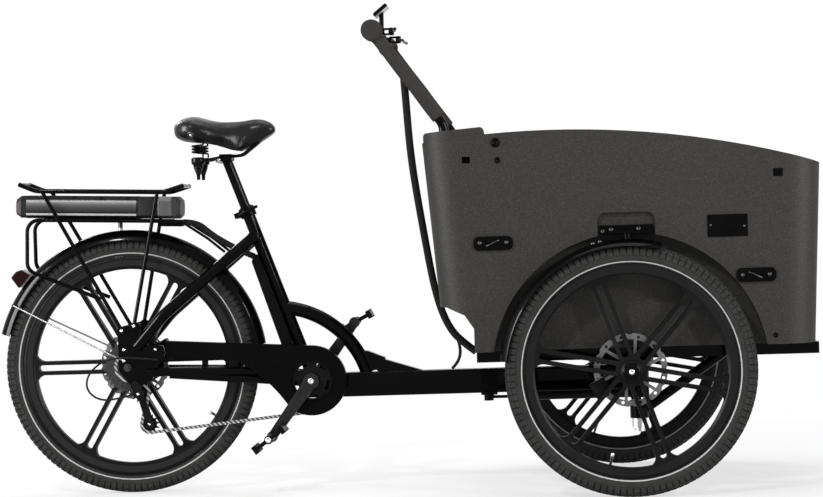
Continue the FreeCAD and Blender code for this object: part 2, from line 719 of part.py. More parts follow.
def make_seat():
    clamp_z = 857.0
    clamp = seat_tube_point(clamp_z)
    post = rod(SEATPOST_R, SEAT_TOP - SEAT_UP * SEATPOST_IN, clamp + SEAT_UP * 20)
    roof = block((clamp.x - 90, clamp.x + 90), (-60, 60), (clamp_z - 3, clamp_z + 90))
    save("seatpost", post.cut(roof))
    rail_z = clamp_z + 7
    rails = []
    for side in (-1, 1):
        points = [V(SPRING_X + 19.6, side * SPRING_Y, SPRING_Z - 8), V(clamp.x - 14, side * 23, rail_z),
                  V(clamp.x + 42, side * 20, rail_z + 4), V(366, side * 13, 914)]
        rails.append(bent_rod(points, 30.0, 3.5))
    jaw = block((clamp.x - 16, clamp.x + 16), (-31, 31), (clamp_z - 2.8, clamp_z + 15))
    save("saddle_frame", fused([jaw] + rails))
    save("saddle_cover", saddle_cover())
    collar = turned_post([(0, -56), (9, -56), (10, -52), (12.5, -40), (15, -18), (17, -16), (17, -SEAT_GAP),
                          (0, -SEAT_GAP)])
    save("spring_boots", collar, flip(collar))
    spring = coil_spring()
    save("saddle_springs", spring, flip(spring))


def turned_post(outline):
    """Solid turned about the right spring's upright axis, from (r, height above the spring's foot)."""
    points = [V(r, 0, z) for r, z in outline]
    post = Part.Face(Part.makePolygon(points + points[:1])).revolve(ORIGIN, V(0, 0, 1), 360)
    return moved(post, V(SPRING_X, -SPRING_Y, SPRING_Z))


def biarc(start, start_way, end, end_way):
    """Two tangent arcs between two points with given directions."""
    chord = end - start
    both = start_way + end_way
    a = both.dot(both) - 4
    b = -2 * chord.dot(both)
    c = chord.dot(chord)
    reach = (-b - math.sqrt(b * b - 4 * a * c)) / (2 * a)
    if reach < 0:
        reach = (-b + math.sqrt(b * b - 4 * a * c)) / (2 * a)
    near = start + start_way * reach
    far = end - end_way * reach
    joint = (near + far) * 0.5
    arcs = []
    for a_point, control, b_point in ((start, near, joint), (joint, far, end)):
        middle = (a_point + b_point) * 0.5
        half = (control - a_point).getAngle(b_point - control) / 2
        rise = math.cos(half) / (1 + math.cos(half))
        arcs.append(Part.Arc(a_point, middle + (control - middle) * rise, b_point).toShape())
    return arcs


def coil_spring():
    """Right saddle spring: a coil whose wire ends stand upright on the boot and under the saddle."""
    slope = SPRING_PITCH / (2 * math.pi * SPRING_R)
    rise = math.atan(slope)

    def helix(turn):
        angle = 2 * math.pi * turn
        point = V(SPRING_R * math.cos(angle), SPRING_R * math.sin(angle), SPRING_PITCH * turn)
        way = V(-math.sin(angle) * math.cos(rise), math.cos(angle) * math.cos(rise), math.sin(rise))
        return point, way

    up = V(0, 0, 1)
    straight = up * (2 * SPRING_WIRE_R)
    setback = SPRING_BEND * math.tan((math.pi / 2 - rise) / 2)
    first, first_way = helix(0)
    last, last_way = helix(SPRING_TURNS)
    foot_corner = first - first_way * setback
    head_corner = last + last_way * setback
    foot = foot_corner - up * setback
    head = head_corner + up * setback
    edges = [Part.makeLine(foot - straight, foot)]
    start, middle, end, used = corner_arc(foot - straight, foot_corner, first, SPRING_BEND)
    edges.append(Part.Arc(foot, middle, first).toShape())
    steps = 4 * SPRING_TURNS
    samples = []
    for k in range(steps):
        start, start_way = helix(k / 4)
        end, end_way = helix((k + 1) / 4)
        edges += biarc(start, start_way, end, end_way)
        samples.append(start)
    start, middle, end, used = corner_arc(last, head_corner, head + straight, SPRING_BEND)
    edges.append(Part.Arc(last, middle, head).toShape())
    edges.append(Part.makeLine(head, head + straight))
    spring = sweep(Part.Wire(edges), SPRING_WIRE_R)
    gap = min((a - b).Length for i, a in enumerate(samples) for b in samples[i + 3:]) - 2 * SPRING_WIRE_R
    height = head.z - foot.z + 4 * SPRING_WIRE_R
    print(f"saddle spring: least gap between turns {gap:.2f} mm, height {height:.1f} mm")
    return moved(spring, V(SPRING_X, -SPRING_Y, SPRING_Z) - V(0, 0, (foot - straight).z))


SADDLE_STATIONS = (
    # x, half width, underside, top, share of the half width where the crown starts
    (133, 52, 922, 948, 0.80),
    (146, 88, 912, 963, 0.80),
    (180, 112, SADDLE_LOW, SADDLE_TOP, 0.78),
    (225, 104, SADDLE_LOW - 6, SADDLE_TOP - 8, 0.76),
    (270, 66, SADDLE_LOW - 20, SADDLE_TOP - 14, 0.72),
    (310, 40, SADDLE_LOW - 24, SADDLE_TOP - 12, 0.66),
    (355, 30, 918, SADDLE_TOP - 8, 0.62),
    (386, 26, 928, SADDLE_TOP - 14, 0.60),
    (397, 15, 933, SADDLE_TOP - 26, 0.60),
)


def saddle_cover():
    """Padded saddle: a crowned top over drawn-in sides that hang as skirts round an open underside."""
    wires = []
    openings = []
    for x, half, low, top, share in SADDLE_STATIONS:
        edge = low + (top - low) * 0.62
        crown = half * share
        left = V(x, crown, top - (top - low) * 0.12)
        right = V(x, -crown, left.z)
        wires.append(Part.Wire([
            Part.makeLine(V(x, -half * 0.82, low), V(x, half * 0.82, low)),
            Part.Arc(V(x, half * 0.82, low), V(x, half, edge), left).toShape(),
            Part.Arc(left, V(x, 0, top), right).toShape(),
            Part.Arc(right, V(x, -half, edge), V(x, -half * 0.82, low)).toShape(),
        ]))
        if low <= SADDLE_LOW:
            inner = half * 0.82 - SADDLE_SKIRT
            corners = [V(x, inner, 850), V(x, inner, SADDLE_LOW), V(x, -inner, SADDLE_LOW), V(x, -inner, 850)]
            openings.append(Part.makePolygon(corners + corners[:1]))
    front = openings[-1].copy()
    front.translate(V(32, 0, 0))
    return Part.makeLoft(wires, True, False).cut(Part.makeLoft(openings + [front], True, True))


def make_seat_clamp():
    """Collar round the top of the seat tube, and the quick-release lever that folds along its right side."""
    low = SEAT_TOP - SEAT_UP * 28
    inner = SEAT_TUBE_R + SEAT_GAP
    outer = SEAT_TUBE_R + 5
    ring = rod(outer, low, SEAT_TOP - SEAT_UP * 3)
    ear_centre = SEAT_TOP - SEAT_UP * 15.5 + SEAT_BACK * (outer + 4)
    ear = rod(8, ear_centre - V(0, 13, 0), ear_centre + V(0, 13, 0))
    lobe = rod(5, ear_centre - V(0, 20, 0), ear_centre + V(0, 20, 0))
    collar = fused([ring, ear, lobe]).cut(rod(inner, low - SEAT_UP * 5, SEAT_TOP + SEAT_UP * 5))
    slit = rod(1.5, ear_centre - SEAT_BACK * 14, ear_centre + SEAT_BACK * 14)
    save("seat_collar", collar.cut(slit))
    pivot = lever_pivot()
    tip = pivot - SEAT_BACK * 58 - V(0, 6, 0) + SEAT_UP * 4
    grip = bent_rod([pivot, pivot - SEAT_BACK * 22 - V(0, 9, 0), tip], 20.0, 4.0)
    cam = rod(8, pivot - SEAT_UP * 7, pivot + SEAT_UP * 7)
    save("seat_clamp_lever", fused([cam, grip]))


def lever_pivot():
    """Centre of the quick-release lever's cam, beside the collar's ear."""
    return SEAT_TOP - SEAT_UP * 15.5 + SEAT_BACK * (SEAT_TUBE_R + 9) - V(0, 28.3, 0)


# Drive


def pitch_radius(teeth):
    return CHAIN_PITCH / (2 * math.sin(math.pi / teeth))


def sprocket_outline(teeth, first_gap):
    """Tooth outline in the xz plane as (x, z): flat-bottomed gaps round the rollers and tapered teeth."""
    radius = pitch_radius(teeth)
    points = []
    for k in range(teeth):
        gap = first_gap + 2 * math.pi * k / teeth
        for across, out in ((-5.4, 3.0), (-4.6, 0.0), (-2.6, -4.3), (2.6, -4.3), (4.6, 0.0), (5.4, 3.0)):
            angle = gap + across / radius
            points.append(((radius + out) * math.cos(angle), (radius + out) * math.sin(angle)))
    return points


def sprocket(teeth, first_gap, thickness, bore):
    """Toothed disc about the origin, centred on y = 0."""
    half = thickness / 2
    disc = polygon_plate(sprocket_outline(teeth, first_gap), -half, half)
    return disc.cut(rod(bore, V(0, -thickness, 0), V(0, thickness, 0)))


class Wheel:
    """A toothed wheel on the chain's path: centre, teeth and sense of turning (1 is forward over the top)."""

    def __init__(self, x, z, teeth, sense):
        self.x = x
        self.z = z
        self.teeth = teeth
        self.sense = sense
        self.radius = pitch_radius(teeth)
        self.enter = 0.0
        self.leave = 0.0


def chain_wheels(cage_angle):
    """The four toothed wheels in the order that the chain meets them, with its touch angles on each."""
    swing = math.radians(cage_angle)
    low_x = GUIDE_PULLEY_X + CAGE_LENGTH * math.cos(swing)
    low_z = GUIDE_PULLEY_Z + CAGE_LENGTH * math.sin(swing)
    wheels = [
        Wheel(CRANK_X, CRANK_Z, CHAINRING_TEETH, -1),
        Wheel(low_x, low_z, PULLEY_TEETH, -1),
        Wheel(GUIDE_PULLEY_X, GUIDE_PULLEY_Z, PULLEY_TEETH, 1),
        Wheel(0.0, REAR_WHEEL_R, DRIVE_TEETH, -1),
    ]
    for here, after in zip(wheels, wheels[1:] + wheels[:1]):
        dx = after.x - here.x
        dz = after.z - here.z
        span = math.hypot(dx, dz)
        heading = math.atan2(dz, dx)
        lean = math.asin((here.radius * here.sense - after.radius * after.sense) / span)
        way = heading + lean
        here.leave = way - here.sense * math.pi / 2
        after.enter = way - after.sense * math.pi / 2
        here.run = math.sqrt(span ** 2 - (here.radius * here.sense - after.radius * after.sense) ** 2)
    for wheel in wheels:
        wheel.wrap = (wheel.sense * (wheel.leave - wheel.enter)) % (2 * math.pi)
        wheel.links = wheel.wrap * wheel.teeth / (2 * math.pi)
    return wheels


def chain_length(cage_angle):
    """Length of the chain's path in links."""
    return sum(wheel.links + wheel.run / CHAIN_PITCH for wheel in chain_wheels(cage_angle))


def settled_cage_angle():
    """Cage angle near the guess at which the chain is an even number of links."""
    links = 2 * round(chain_length(CAGE_ANGLE_GUESS) / 2)
    low = CAGE_ANGLE_GUESS - 25
    high = CAGE_ANGLE_GUESS + 25
    falling = chain_length(low) > chain_length(high)
    for step in range(50):
        middle = (low + high) / 2
        if (chain_length(middle) > links) == falling:
            low = middle
        else:
            high = middle
    return (low + high) / 2, links


CAGE_ANGLE, CHAIN_LINKS = settled_cage_angle()
DRIVE_WHEELS = chain_wheels(CAGE_ANGLE)


def chain_point(position):
    """Roller centre at a place along the chain, counted in links."""
    for wheel in DRIVE_WHEELS:
        if position <= wheel.links:
            angle = wheel.enter + wheel.sense * position * 2 * math.pi / wheel.teeth
            return V(wheel.x + wheel.radius * math.cos(angle), CHAIN_Y,
                     wheel.z + wheel.radius * math.sin(angle))
        position -= wheel.links
        run = wheel.run / CHAIN_PITCH
        if position <= run:
            way = wheel.leave + wheel.sense * math.pi / 2
            ahead = position * CHAIN_PITCH
            x = wheel.x + wheel.radius * math.cos(wheel.leave) + ahead * math.cos(way)
            z = wheel.z + wheel.radius * math.sin(wheel.leave) + ahead * math.sin(way)
            return V(x, CHAIN_Y, z)
        position -= run
    return chain_point(0.0)


def first_gap(index):
    """Angle of a roller on one of the drive wheels, where that wheel has a gap between teeth."""
    before = sum(w.links + w.run / CHAIN_PITCH for w in DRIVE_WHEELS[:index])
    wheel = DRIVE_WHEELS[index]
    late = math.ceil(before) - before
    return wheel.enter + wheel.sense * late * 2 * math.pi / wheel.teeth


def link_plate(y0, y1):
    """Six-sided chain plate along x, centred between its two rollers."""
    end = CHAIN_PITCH / 2 + 4.1
    shoulder = CHAIN_PITCH / 2 + 1.2
    outline = [(-end, 0), (-shoulder, -3.9), (shoulder, -3.9), (end, 0), (shoulder, 3.9), (-shoulder, 3.9)]
    return polygon_plate(outline, y0, y1)


def make_chain():
    """Roller chain in mesh: inner links with rollers between them, and outer link plates beside them."""
    roller = polygon_plate([(ROLLER_R * math.cos(a), ROLLER_R * math.sin(a))
                            for a in [math.pi * (k + 0.5) / 4 for k in range(8)]], -1.3, 1.3)
    inner = fused([link_plate(-2.0, -1.2), link_plate(1.2, 2.0), moved(roller, V(-CHAIN_PITCH / 2, 0, 0)),
                   moved(roller, V(CHAIN_PITCH / 2, 0, 0))])
    outer = Part.makeCompound([link_plate(-2.9, -2.1), link_plate(2.1, 2.9)])
    links = []
    for k in range(CHAIN_LINKS):
        a = chain_point(k)
        b = chain_point((k + 1) % CHAIN_LINKS)
        heading = math.degrees(math.atan2(b.z - a.z, b.x - a.x))
        links.append(moved(turned_to(inner if k % 2 == 0 else outer, heading), (a + b) * 0.5))
    save("chain", *links)
    print(f"chain: {CHAIN_LINKS} links, cage at {CAGE_ANGLE:.2f} degrees")


def make_cassette():
    bore = REAR_AXLE_R + RUN_GAP
    core_r = 15.0
    cogs = []
    for k, teeth in enumerate(COG_TEETH):
        cog = sprocket(teeth, first_gap(3), COG_T, bore)
        y = CHAIN_Y + (DRIVE_COG - k) * COG_STEP
        cogs.append(moved(cog, V(0, y, 0)))
    first = CHAIN_Y + DRIVE_COG * COG_STEP + COG_T / 2
    last = CHAIN_Y + (DRIVE_COG - len(COG_TEETH) + 1) * COG_STEP - COG_T / 2
    core = sleeve(core_r, bore, V(0, last - 1, 0), V(0, first + 1, 0))
    save("cassette", moved(fused([core] + cogs), REAR_CENTRE))


def make_derailleur():
    """Hanger knuckle, arm and a cage of two plates with a bolt through each pulley."""
    low = DRIVE_WHEELS[1]
    outer_y = CHAIN_Y - 8.0
    inner_y = CHAIN_Y + 6.0
    plates = []
    for y in (outer_y, inner_y):
        ends = [rod(r, V(x, y, z), V(x, y + 2, z)) for r, x, z in
                ((14, GUIDE_PULLEY_X, GUIDE_PULLEY_Z), (12, low.x, low.z))]
        swing = math.radians(CAGE_ANGLE)
        side = V(-math.sin(swing), 0, math.cos(swing)) * 9
        a = V(GUIDE_PULLEY_X, 0, GUIDE_PULLEY_Z)
        b = V(low.x, 0, low.z)
        web = polygon_plate([(p.x, p.z) for p in (a - side, b - side, b + side, a + side)], y, y + 2)
        plates.append(fused(ends + [web]))
    bolts = [rod(2.5, V(x, outer_y - 2, z), V(x, inner_y + 3, z)) for x, z in
             ((GUIDE_PULLEY_X, GUIDE_PULLEY_Z), (low.x, low.z))]
    hanger_z = REAR_WHEEL_R - 46
    hanger = V(18, 0, hanger_z)
    knuckle_y = -STAY_Y - DROPOUT_T / 2 - SEAT_GAP
    knuckle = rod(11, hanger + V(0, knuckle_y - 14, 0), hanger + V(0, knuckle_y, 0))
    guide = V(GUIDE_PULLEY_X, 0, GUIDE_PULLEY_Z)
    pivot = rod(12, guide + V(0, knuckle_y - 14, 0), guide + V(0, outer_y + 1, 0))
    body = polygon_plate([(8, hanger_z + 6), (30, hanger_z + 4), (GUIDE_PULLEY_X + 11, GUIDE_PULLEY_Z - 6),
                          (GUIDE_PULLEY_X - 11, GUIDE_PULLEY_Z - 8)], knuckle_y - 13, knuckle_y - 2)
    save("derailleur", fused([knuckle, body, pivot] + plates + bolts))
    for index, name in ((2, "guide_pulley"), (1, "tension_pulley")):
        wheel = DRIVE_WHEELS[index]
        pulley = sprocket(PULLEY_TEETH, first_gap(index), COG_T, 2.5 + RUN_GAP)
        hub = sleeve(9, 2.5 + RUN_GAP, V(0, -3, 0), V(0, 3, 0))
        save(name, moved(fused([pulley, hub]), V(wheel.x, CHAIN_Y, wheel.z)))


def crank_end(side):
    """Pedal hole centre of the right (-1) or left (1) crank arm."""
    swing = math.radians(CRANK_ANGLE if side < 0 else CRANK_ANGLE + 180)
    return V(CRANK_X + CRANK_LENGTH * math.cos(swing), 0, CRANK_Z + CRANK_LENGTH * math.sin(swing))


def make_crank():
    out = ARM_IN_Y + ARM_T
    spindle = rod(SPINDLE_R, CRANK_CENTRE - V(0, out - 3, 0), CRANK_CENTRE + V(0, out - 3, 0))
    pedal_pins = []
    arms = []
    for side in (-1, 1):
        end = crank_end(side)
        pedal_pins.append(rod(PEDAL_SPINDLE_R, end + V(0, side * (out - 12), 0),
                              end + V(0, side * (out + PEDAL_W + 4), 0)))
        boss_in = -CHAIN_Y + 2.3 if side < 0 else SHELL_HALF + 3
        boss = rod(20, CRANK_CENTRE + V(0, side * boss_in, 0), CRANK_CENTRE + V(0, side * out, 0))
        tip = rod(14, end + V(0, side * ARM_IN_Y, 0), end + V(0, side * out, 0))
        reach = (end - CRANK_CENTRE).normalize()
        across = V(-reach.z, 0, reach.x)
        corners = [CRANK_CENTRE + across * 17, CRANK_CENTRE - across * 17, end - across * 12,
                   end + across * 12]
        y = sorted((side * ARM_IN_Y, side * out))
        web = polygon_plate([(p.x, p.z) for p in corners], y[0], y[1])
        arm = fused([boss, tip, web])
        fork = [CRANK_CENTRE + across * 11, CRANK_CENTRE - across * 11, CRANK_CENTRE + reach * 95]
        y = sorted((side * (out - ARM_GROOVE), side * (out + 1)))
        groove = polygon_plate([(p.x, p.z) for p in fork], y[0], y[1])
        arm = arm.cut(groove.cut(rod(13, CRANK_CENTRE, CRANK_CENTRE + V(0, side * (out + 2), 0))))
        arm = arm.cut(rod(SPINDLE_R + SEAT_GAP, CRANK_CENTRE, CRANK_CENTRE + V(0, side * (out - 2.5), 0)))
        hole = rod(PEDAL_SPINDLE_R + SEAT_GAP, end + V(0, side * (out - 12.5), 0),
                   end + V(0, side * (out + 5), 0))
        arms.append(arm.cut(hole))
    save("crank_spindle", spindle, *pedal_pins)
    save("crank_arms", *arms)
    ring_r = pitch_radius(CHAINRING_TEETH)
    ring = sprocket(CHAINRING_TEETH, first_gap(0), 2.0, ring_r - 16)
    hub = sleeve(19, SPINDLE_R + SEAT_GAP, V(0, -2, 0), V(0, 2, 0))
    web = sleeve(ring_r - 10, SPINDLE_R + SEAT_GAP, V(0, -2, 0), V(0, 1, 0))
    slot = sleeve(RING_SLOT_R + 4, RING_SLOT_R - 4, V(0, -3, 0), V(0, 3, 0))
    slot = slot.common(polygon_plate([(0, 0), (80, -26), (80, 26)], -4, 4))
    slots = [turned_to(slot, CRANK_ANGLE + 36 + 72 * k) for k in range(5)]
    web = web.cut(Part.makeCompound(slots))
    save("chainring", moved(fused([ring, hub, web]), CRANK_CENTRE + V(0, CHAIN_Y, 0)))


def make_pedals():
    """Cage pedals: a bored core and two toothed side rails joined by end bars."""
    out = ARM_IN_Y + ARM_T
    for side, name, tilt in ((-1, "pedal_right", PEDAL_TILT), (1, "pedal_left", PEDAL_TILT - 9)):
        near = side * (out + 3)
        far = side * (out + 3 + PEDAL_W)
        y = sorted((near, far))
        half = PEDAL_LENGTH / 2
        core = rod(11, V(0, y[0], 0), V(0, y[1], 0))
        rails = [block((x, x + 12), (y[0], y[1]), (-PEDAL_H / 2, PEDAL_H / 2)) for x in (-half, half - 12)]
        bars = [block((-half, half), (w, w + 10), (-5, 5)) for w in (y[0], (y[0] + y[1]) / 2 - 5, y[1] - 10)]
        pedal = fused([core] + rails + bars)
        notch = block((-half - 1, half + 1), (-4, 4), (PEDAL_H / 2 - 4, PEDAL_H))
        notches = []
        for k in range(5):
            level = moved(notch, V(0, y[0] + PEDAL_W * (k + 0.5) / 5, 0))
            notches += [level, level.mirror(ORIGIN, V(0, 0, 1))]
        pedal = pedal.cut(Part.makeCompound(notches))
        pedal = pedal.cut(rod(PEDAL_SPINDLE_R + RUN_GAP, V(0, y[0] - 1, 0), V(0, y[1] + 8, 0)))
        save(name, moved(turned_to(pedal, tilt), crank_end(side)))


def make_chain_guard():
    """Drop-shaped chain guard: an arm over the upper run and a round cover with a ring opening."""
    arm_top = CRANK_Z + GUARD_R + 7
    tail_x = 97.0
    tail_top = arm_top + 16
    centre = V(CRANK_X, 0, CRANK_Z)

    def on_cover(angle):
        turn = math.radians(angle)
        return V(CRANK_X + GUARD_R * math.cos(turn), 0, CRANK_Z + GUARD_R * math.sin(turn))

    under = V(275, 0, 342)
    hollow = V(330, 0, 312)
    edges = [
        Part.makeLine(V(tail_x, 0, 352), V(tail_x, 0, tail_top)),
        Part.makeLine(V(tail_x, 0, tail_top), on_cover(86)),
        Part.Arc(on_cover(86), on_cover(-30), on_cover(-130)).toShape(),
        Part.Arc(on_cover(-130), hollow + V(14, 0, -18), under).toShape(),
        Part.makeLine(under, V(tail_x, 0, 352)),
    ]
    face = Part.Face(Part.Wire(edges))
    plate = moved(face.extrude(V(0, GUARD_WALL, 0)), V(0, GUARD_OUT_Y, 0))
    opening = rod(GUARD_HOLE_R, centre + V(0, GUARD_OUT_Y - 1, 0), centre + V(0, GUARD_OUT_Y + 4, 0))
    collar = sleeve(GUARD_HOLE_R + 3, GUARD_HOLE_R, centre + V(0, GUARD_OUT_Y - 2, 0),
                    centre + V(0, GUARD_OUT_Y + 3, 0))
    core = face.makeOffset2D(-GUARD_WALL)
    skirt = face.cut(core).extrude(V(0, GUARD_DEPTH, 0))
    skirt = moved(skirt, V(0, GUARD_OUT_Y, 0))
    below = polygon_plate([(tail_x - 20, 300), (tail_x - 20, tail_top - 6), (tail_x + 4, tail_top - 6),
                           (CRANK_X - 30, arm_top - 20), (CRANK_X - 30, CRANK_Z - 66), (CRANK_X + 5,
                                                                                        CRANK_Z - 66),
                           (CRANK_X + 5, 150), (300, 150)],
                          GUARD_OUT_Y + GUARD_WALL, GUARD_OUT_Y + GUARD_DEPTH + 1)
    skirt = skirt.cut(below)
    tab = block((190, 206), (GUARD_OUT_Y, GUARD_OUT_Y + 3), (323.5, 352))
    save("chain_guard", fused([plate.cut(opening), collar, skirt, tab]))


# Rack, battery and rear mudguard


def on_rack(u, y, w):
    """Point in the rack's own tilted frame: u along it, w above its rails."""
    turn = math.radians(RACK_TILT)
    x = RACK_X + u * math.cos(turn) + w * math.sin(turn)
    return V(x, y, RACK_Z - u * math.sin(turn) + w * math.cos(turn))


def tilted(shape):
    """Move a shape drawn in the rack's frame, with u along x, onto the tricycle."""
    copy = shape.copy()
    copy.rotate(ORIGIN, Y_AXIS, RACK_TILT)
    copy.translate(V(RACK_X, 0, RACK_Z))
    return copy


def make_rack():
    end_rise = 17.0
    end_reach = RACK_HALF_L + 56
    rails = []
    for side in (-1, 1):
        y = side * RACK_HALF_W
        points = [V(-end_reach, y, end_rise), V(-RACK_HALF_L - 12, y, 0), V(RACK_HALF_L + 12, y, 0),
                  V(end_reach + 6, y, end_rise)]
        rails.append(bent_rod(points, 60.0, RACK_TUBE_R))
    bars = [rod(RACK_TUBE_R - 1, V(u, -RACK_HALF_W, w), V(u, RACK_HALF_W, w)) for u, w in
            ((-end_reach + 3, end_rise - 1.3), (end_reach + 3, end_rise - 1.3))]
    bars += [rod(4, V(u, -RACK_HALF_W, 0), V(u, RACK_HALF_W, 0)) for u in (-140, -70, 0, 70, 140)]
    bars.append(rod(4, V(-RACK_HALF_L, 0, 0), V(RACK_HALF_L, 0, 0)))
    save("rear_rack", tilted(fused(rails + bars)))


def make_rack_legs():
    """Two legs each side from the rails to the dropouts, and a stay each side forward to the seat stays."""
    pieces = []
    for u, foot in ((-RACK_HALF_L + 4, V(-12, FOOT_Y, 426)), (RACK_HALF_L - 6, V(20, FOOT_Y, 437))):
        top = on_rack(u, -RACK_HALF_W, 0)
        leg = rod(LEG_R, top, foot)
        eye = rod(9, foot - V(0, LEG_R, 0), foot + V(0, LEG_R + 1.0, 0))
        rail = tilted(rod(RACK_TUBE_R + SEAT_GAP, V(-RACK_HALF_L - 12, -RACK_HALF_W, 0),
                          V(RACK_HALF_L + 12, -RACK_HALF_W, 0)))
        leg = max(fused([leg, eye]).cut(rail).Solids, key=lambda solid: solid.Volume)
        pieces += [leg, flip(leg)]
    path = seat_stay_path()
    along = path[1] - path[0]
    grip = path[0] + along * 0.26
    end = grip + V(along.z, 0, -along.x).normalize() * (SEAT_STAY_R + 3.5 + 2 * SEAT_GAP)
    start = on_rack(DOCK_FRONT + SEAT_GAP, -DOCK_Y, dock_level())
    knee = on_rack(DOCK_FRONT + 30, -DOCK_Y, dock_level())
    stay = bent_rod([start, knee, V(214, -DOCK_Y - 1, end.z + 36), end], 20.0, 3.5)
    save("rack_legs", *pieces, stay, flip(stay))


def dock_level():
    """Height of the dock wires' centres below the rack's rails."""
    return -BATTERY_DROP - BATTERY_H - SEAT_GAP - DOCK_R


def make_battery_dock():
    """Two wires under the battery, looped down behind to the rear legs, with a tray plate between them."""
    level = dock_level()
    wires = []
    for side in (-1, 1):
        points = [on_rack(DOCK_FRONT, side * DOCK_Y, level), on_rack(-192, side * DOCK_Y, level),
                  V(-257, side * 58, 588),
                  V(-66, side * 70, 508)]
        wires.append(bent_rod(points, 30.0, DOCK_R))
    tray = tilted(block((-150, DOCK_FRONT), (-DOCK_Y, DOCK_Y), (level - 1.5, level + 1.5)))
    plug = tilted(block((DOCK_FRONT - 34, PLUG_FRONT), (-20, 20), (level - 14, level + 3)))
    save("battery_dock", fused(wires + [tray, plug]))


def make_battery():
    """Battery in its dock: an extruded case with grooved sides, a long front housing and a rear cap."""
    top = -BATTERY_DROP
    low = top - BATTERY_H
    half = BATTERY_W / 2

    def section(u, inset):
        bevel = 9.0
        y = half - inset
        corners = [(-y, low + bevel), (-y + bevel, low), (y - bevel, low), (y, low + bevel), (y, top - bevel),
                   (y - bevel, top - inset), (-y + bevel, top - inset), (-y, top - bevel)]
        points = [V(u, a, b) for a, b in corners]
        return Part.Face(Part.makePolygon(points + points[:1]))

    case = section(BATTERY_CASE_REAR, 0).extrude(V(BATTERY_CASE_FRONT - BATTERY_CASE_REAR, 0, 0))
    groove_z = (low + top) / 2
    for side in (-1, 1):
        for w in (-10, 6):
            groove = block((BATTERY_CASE_REAR, BATTERY_CASE_FRONT), (side * half - 2, side * half + 2),
                           (groove_z + w, groove_z + w + 4))
            case = case.cut(groove)
    nose_start = BATTERY_CASE_FRONT
    nose = section(nose_start, 2).extrude(V(BATTERY_FRONT - nose_start, 0, 0))
    slope = polygon_plate([(BATTERY_FRONT - 26, top + 1), (BATTERY_FRONT + 1, top + 1),
                           (BATTERY_FRONT + 1, low + 14)],
                          -half - 1, half + 1)
    tail = section(BATTERY_CASE_REAR, 2).extrude(V(BATTERY_REAR - BATTERY_CASE_REAR, 0, 0))
    save("battery_case", tilted(case))
    save("battery_ends", tilted(nose.cut(slope)), tilted(tail))


def guard_arc(radius, half_width, droop, thick, start, end):
    """Curved mudguard strip about the origin, between two angles up from forward."""
    def edge(r, y):
        return V(r, y, 0)
    low = radius - droop
    edges = [
        Part.Arc(edge(low, -half_width), edge(radius, 0), edge(low, half_width)).toShape(),
        Part.makeLine(edge(low, half_width), edge(low - thick, half_width)),
        Part.Arc(edge(low - thick, half_width), edge(radius - thick, 0),
                 edge(low - thick, -half_width)).toShape(),
        Part.makeLine(edge(low - thick, -half_width), edge(low, -half_width)),
    ]
    strip = Part.Face(Part.Wire(edges)).revolve(ORIGIN, TURN_UP, end - start)
    return turned_to(strip, start)


def make_rear_mudguard():
    strip = guard_arc(GUARD_ARC_R, MUDGUARD_HALF_W, MUDGUARD_DROOP, MUDGUARD_T, MUDGUARD_FRONT, MUDGUARD_REAR)
    save("rear_mudguard", moved(strip, REAR_CENTRE))
    wire_r = 2.3
    turn = math.radians(151)
    edge_r = GUARD_ARC_R - MUDGUARD_DROOP - MUDGUARD_T / 2
    start = REAR_CENTRE + V(edge_r * math.cos(turn), -MUDGUARD_HALF_W - wire_r - SEAT_GAP,
                            edge_r * math.sin(turn))
    foot_y = -STAY_Y - DROPOUT_T / 2 - SEAT_GAP - wire_r
    wire = bent_rod([start, V(-44, foot_y, REAR_WHEEL_R + 34), V(-10, foot_y, REAR_WHEEL_R + 18)], 30.0,
                    wire_r)
    post_x = -20.0
    post_low = REAR_WHEEL_R + math.sqrt(GUARD_ARC_R ** 2 - post_x ** 2) + 0.4
    level = on_rack(post_x - RACK_X, 0, dock_level() - 1.5).z
    post = rod(6, V(post_x, 0, post_low), V(post_x, 0, level - 0.5))
    save("mudguard_stays", wire, flip(wire), post)
    seat = GUARD_ARC_R + 0.4
    lamp = rounded_plate([(seat, -23), (seat + 26, -19), (seat + 34, -6), (seat + 34, 14), (seat, 23)], 4.0,
                         -28, 28)
    save("tail_light", moved(turned_to(lamp, 140), REAR_CENTRE))


def make_rear_axle():
    """Fixed axle with spacers inside the dropouts, nuts outside them, and the left caliper."""
    inside = DROPOUT_Y - SEAT_GAP
    outside = STAY_Y + DROPOUT_T / 2 + SEAT_GAP
    end = outside + AXLE_NUT_T + 6
    last_cog = CHAIN_Y + (DRIVE_COG - len(COG_TEETH) + 1) * COG_STEP - COG_T / 2 - 1
    pieces = [rod(REAR_AXLE_R, V(0, -end, 0), V(0, end, 0)),
              rod(9, V(0, -inside, 0), V(0, last_cog - 0.5, 0)),
              rod(9, V(0, REAR_HUB_LEFT + ROTOR_T + 0.5, 0), V(0, inside, 0))]
    for side in (-1, 1):
        nut = rod(AXLE_NUT_R, V(0, side * outside, 0), V(0, side * (outside + AXLE_NUT_T), 0))
        pieces.append(nut)
    save("rear_axle", moved(fused(pieces), REAR_CENTRE))
    reach = inside - REAR_HUB_LEFT - ROTOR_T / 2
    save("rear_caliper", moved(turned_to(caliper(REAR_HUB_LEFT, 1, reach), 28), REAR_CENTRE))


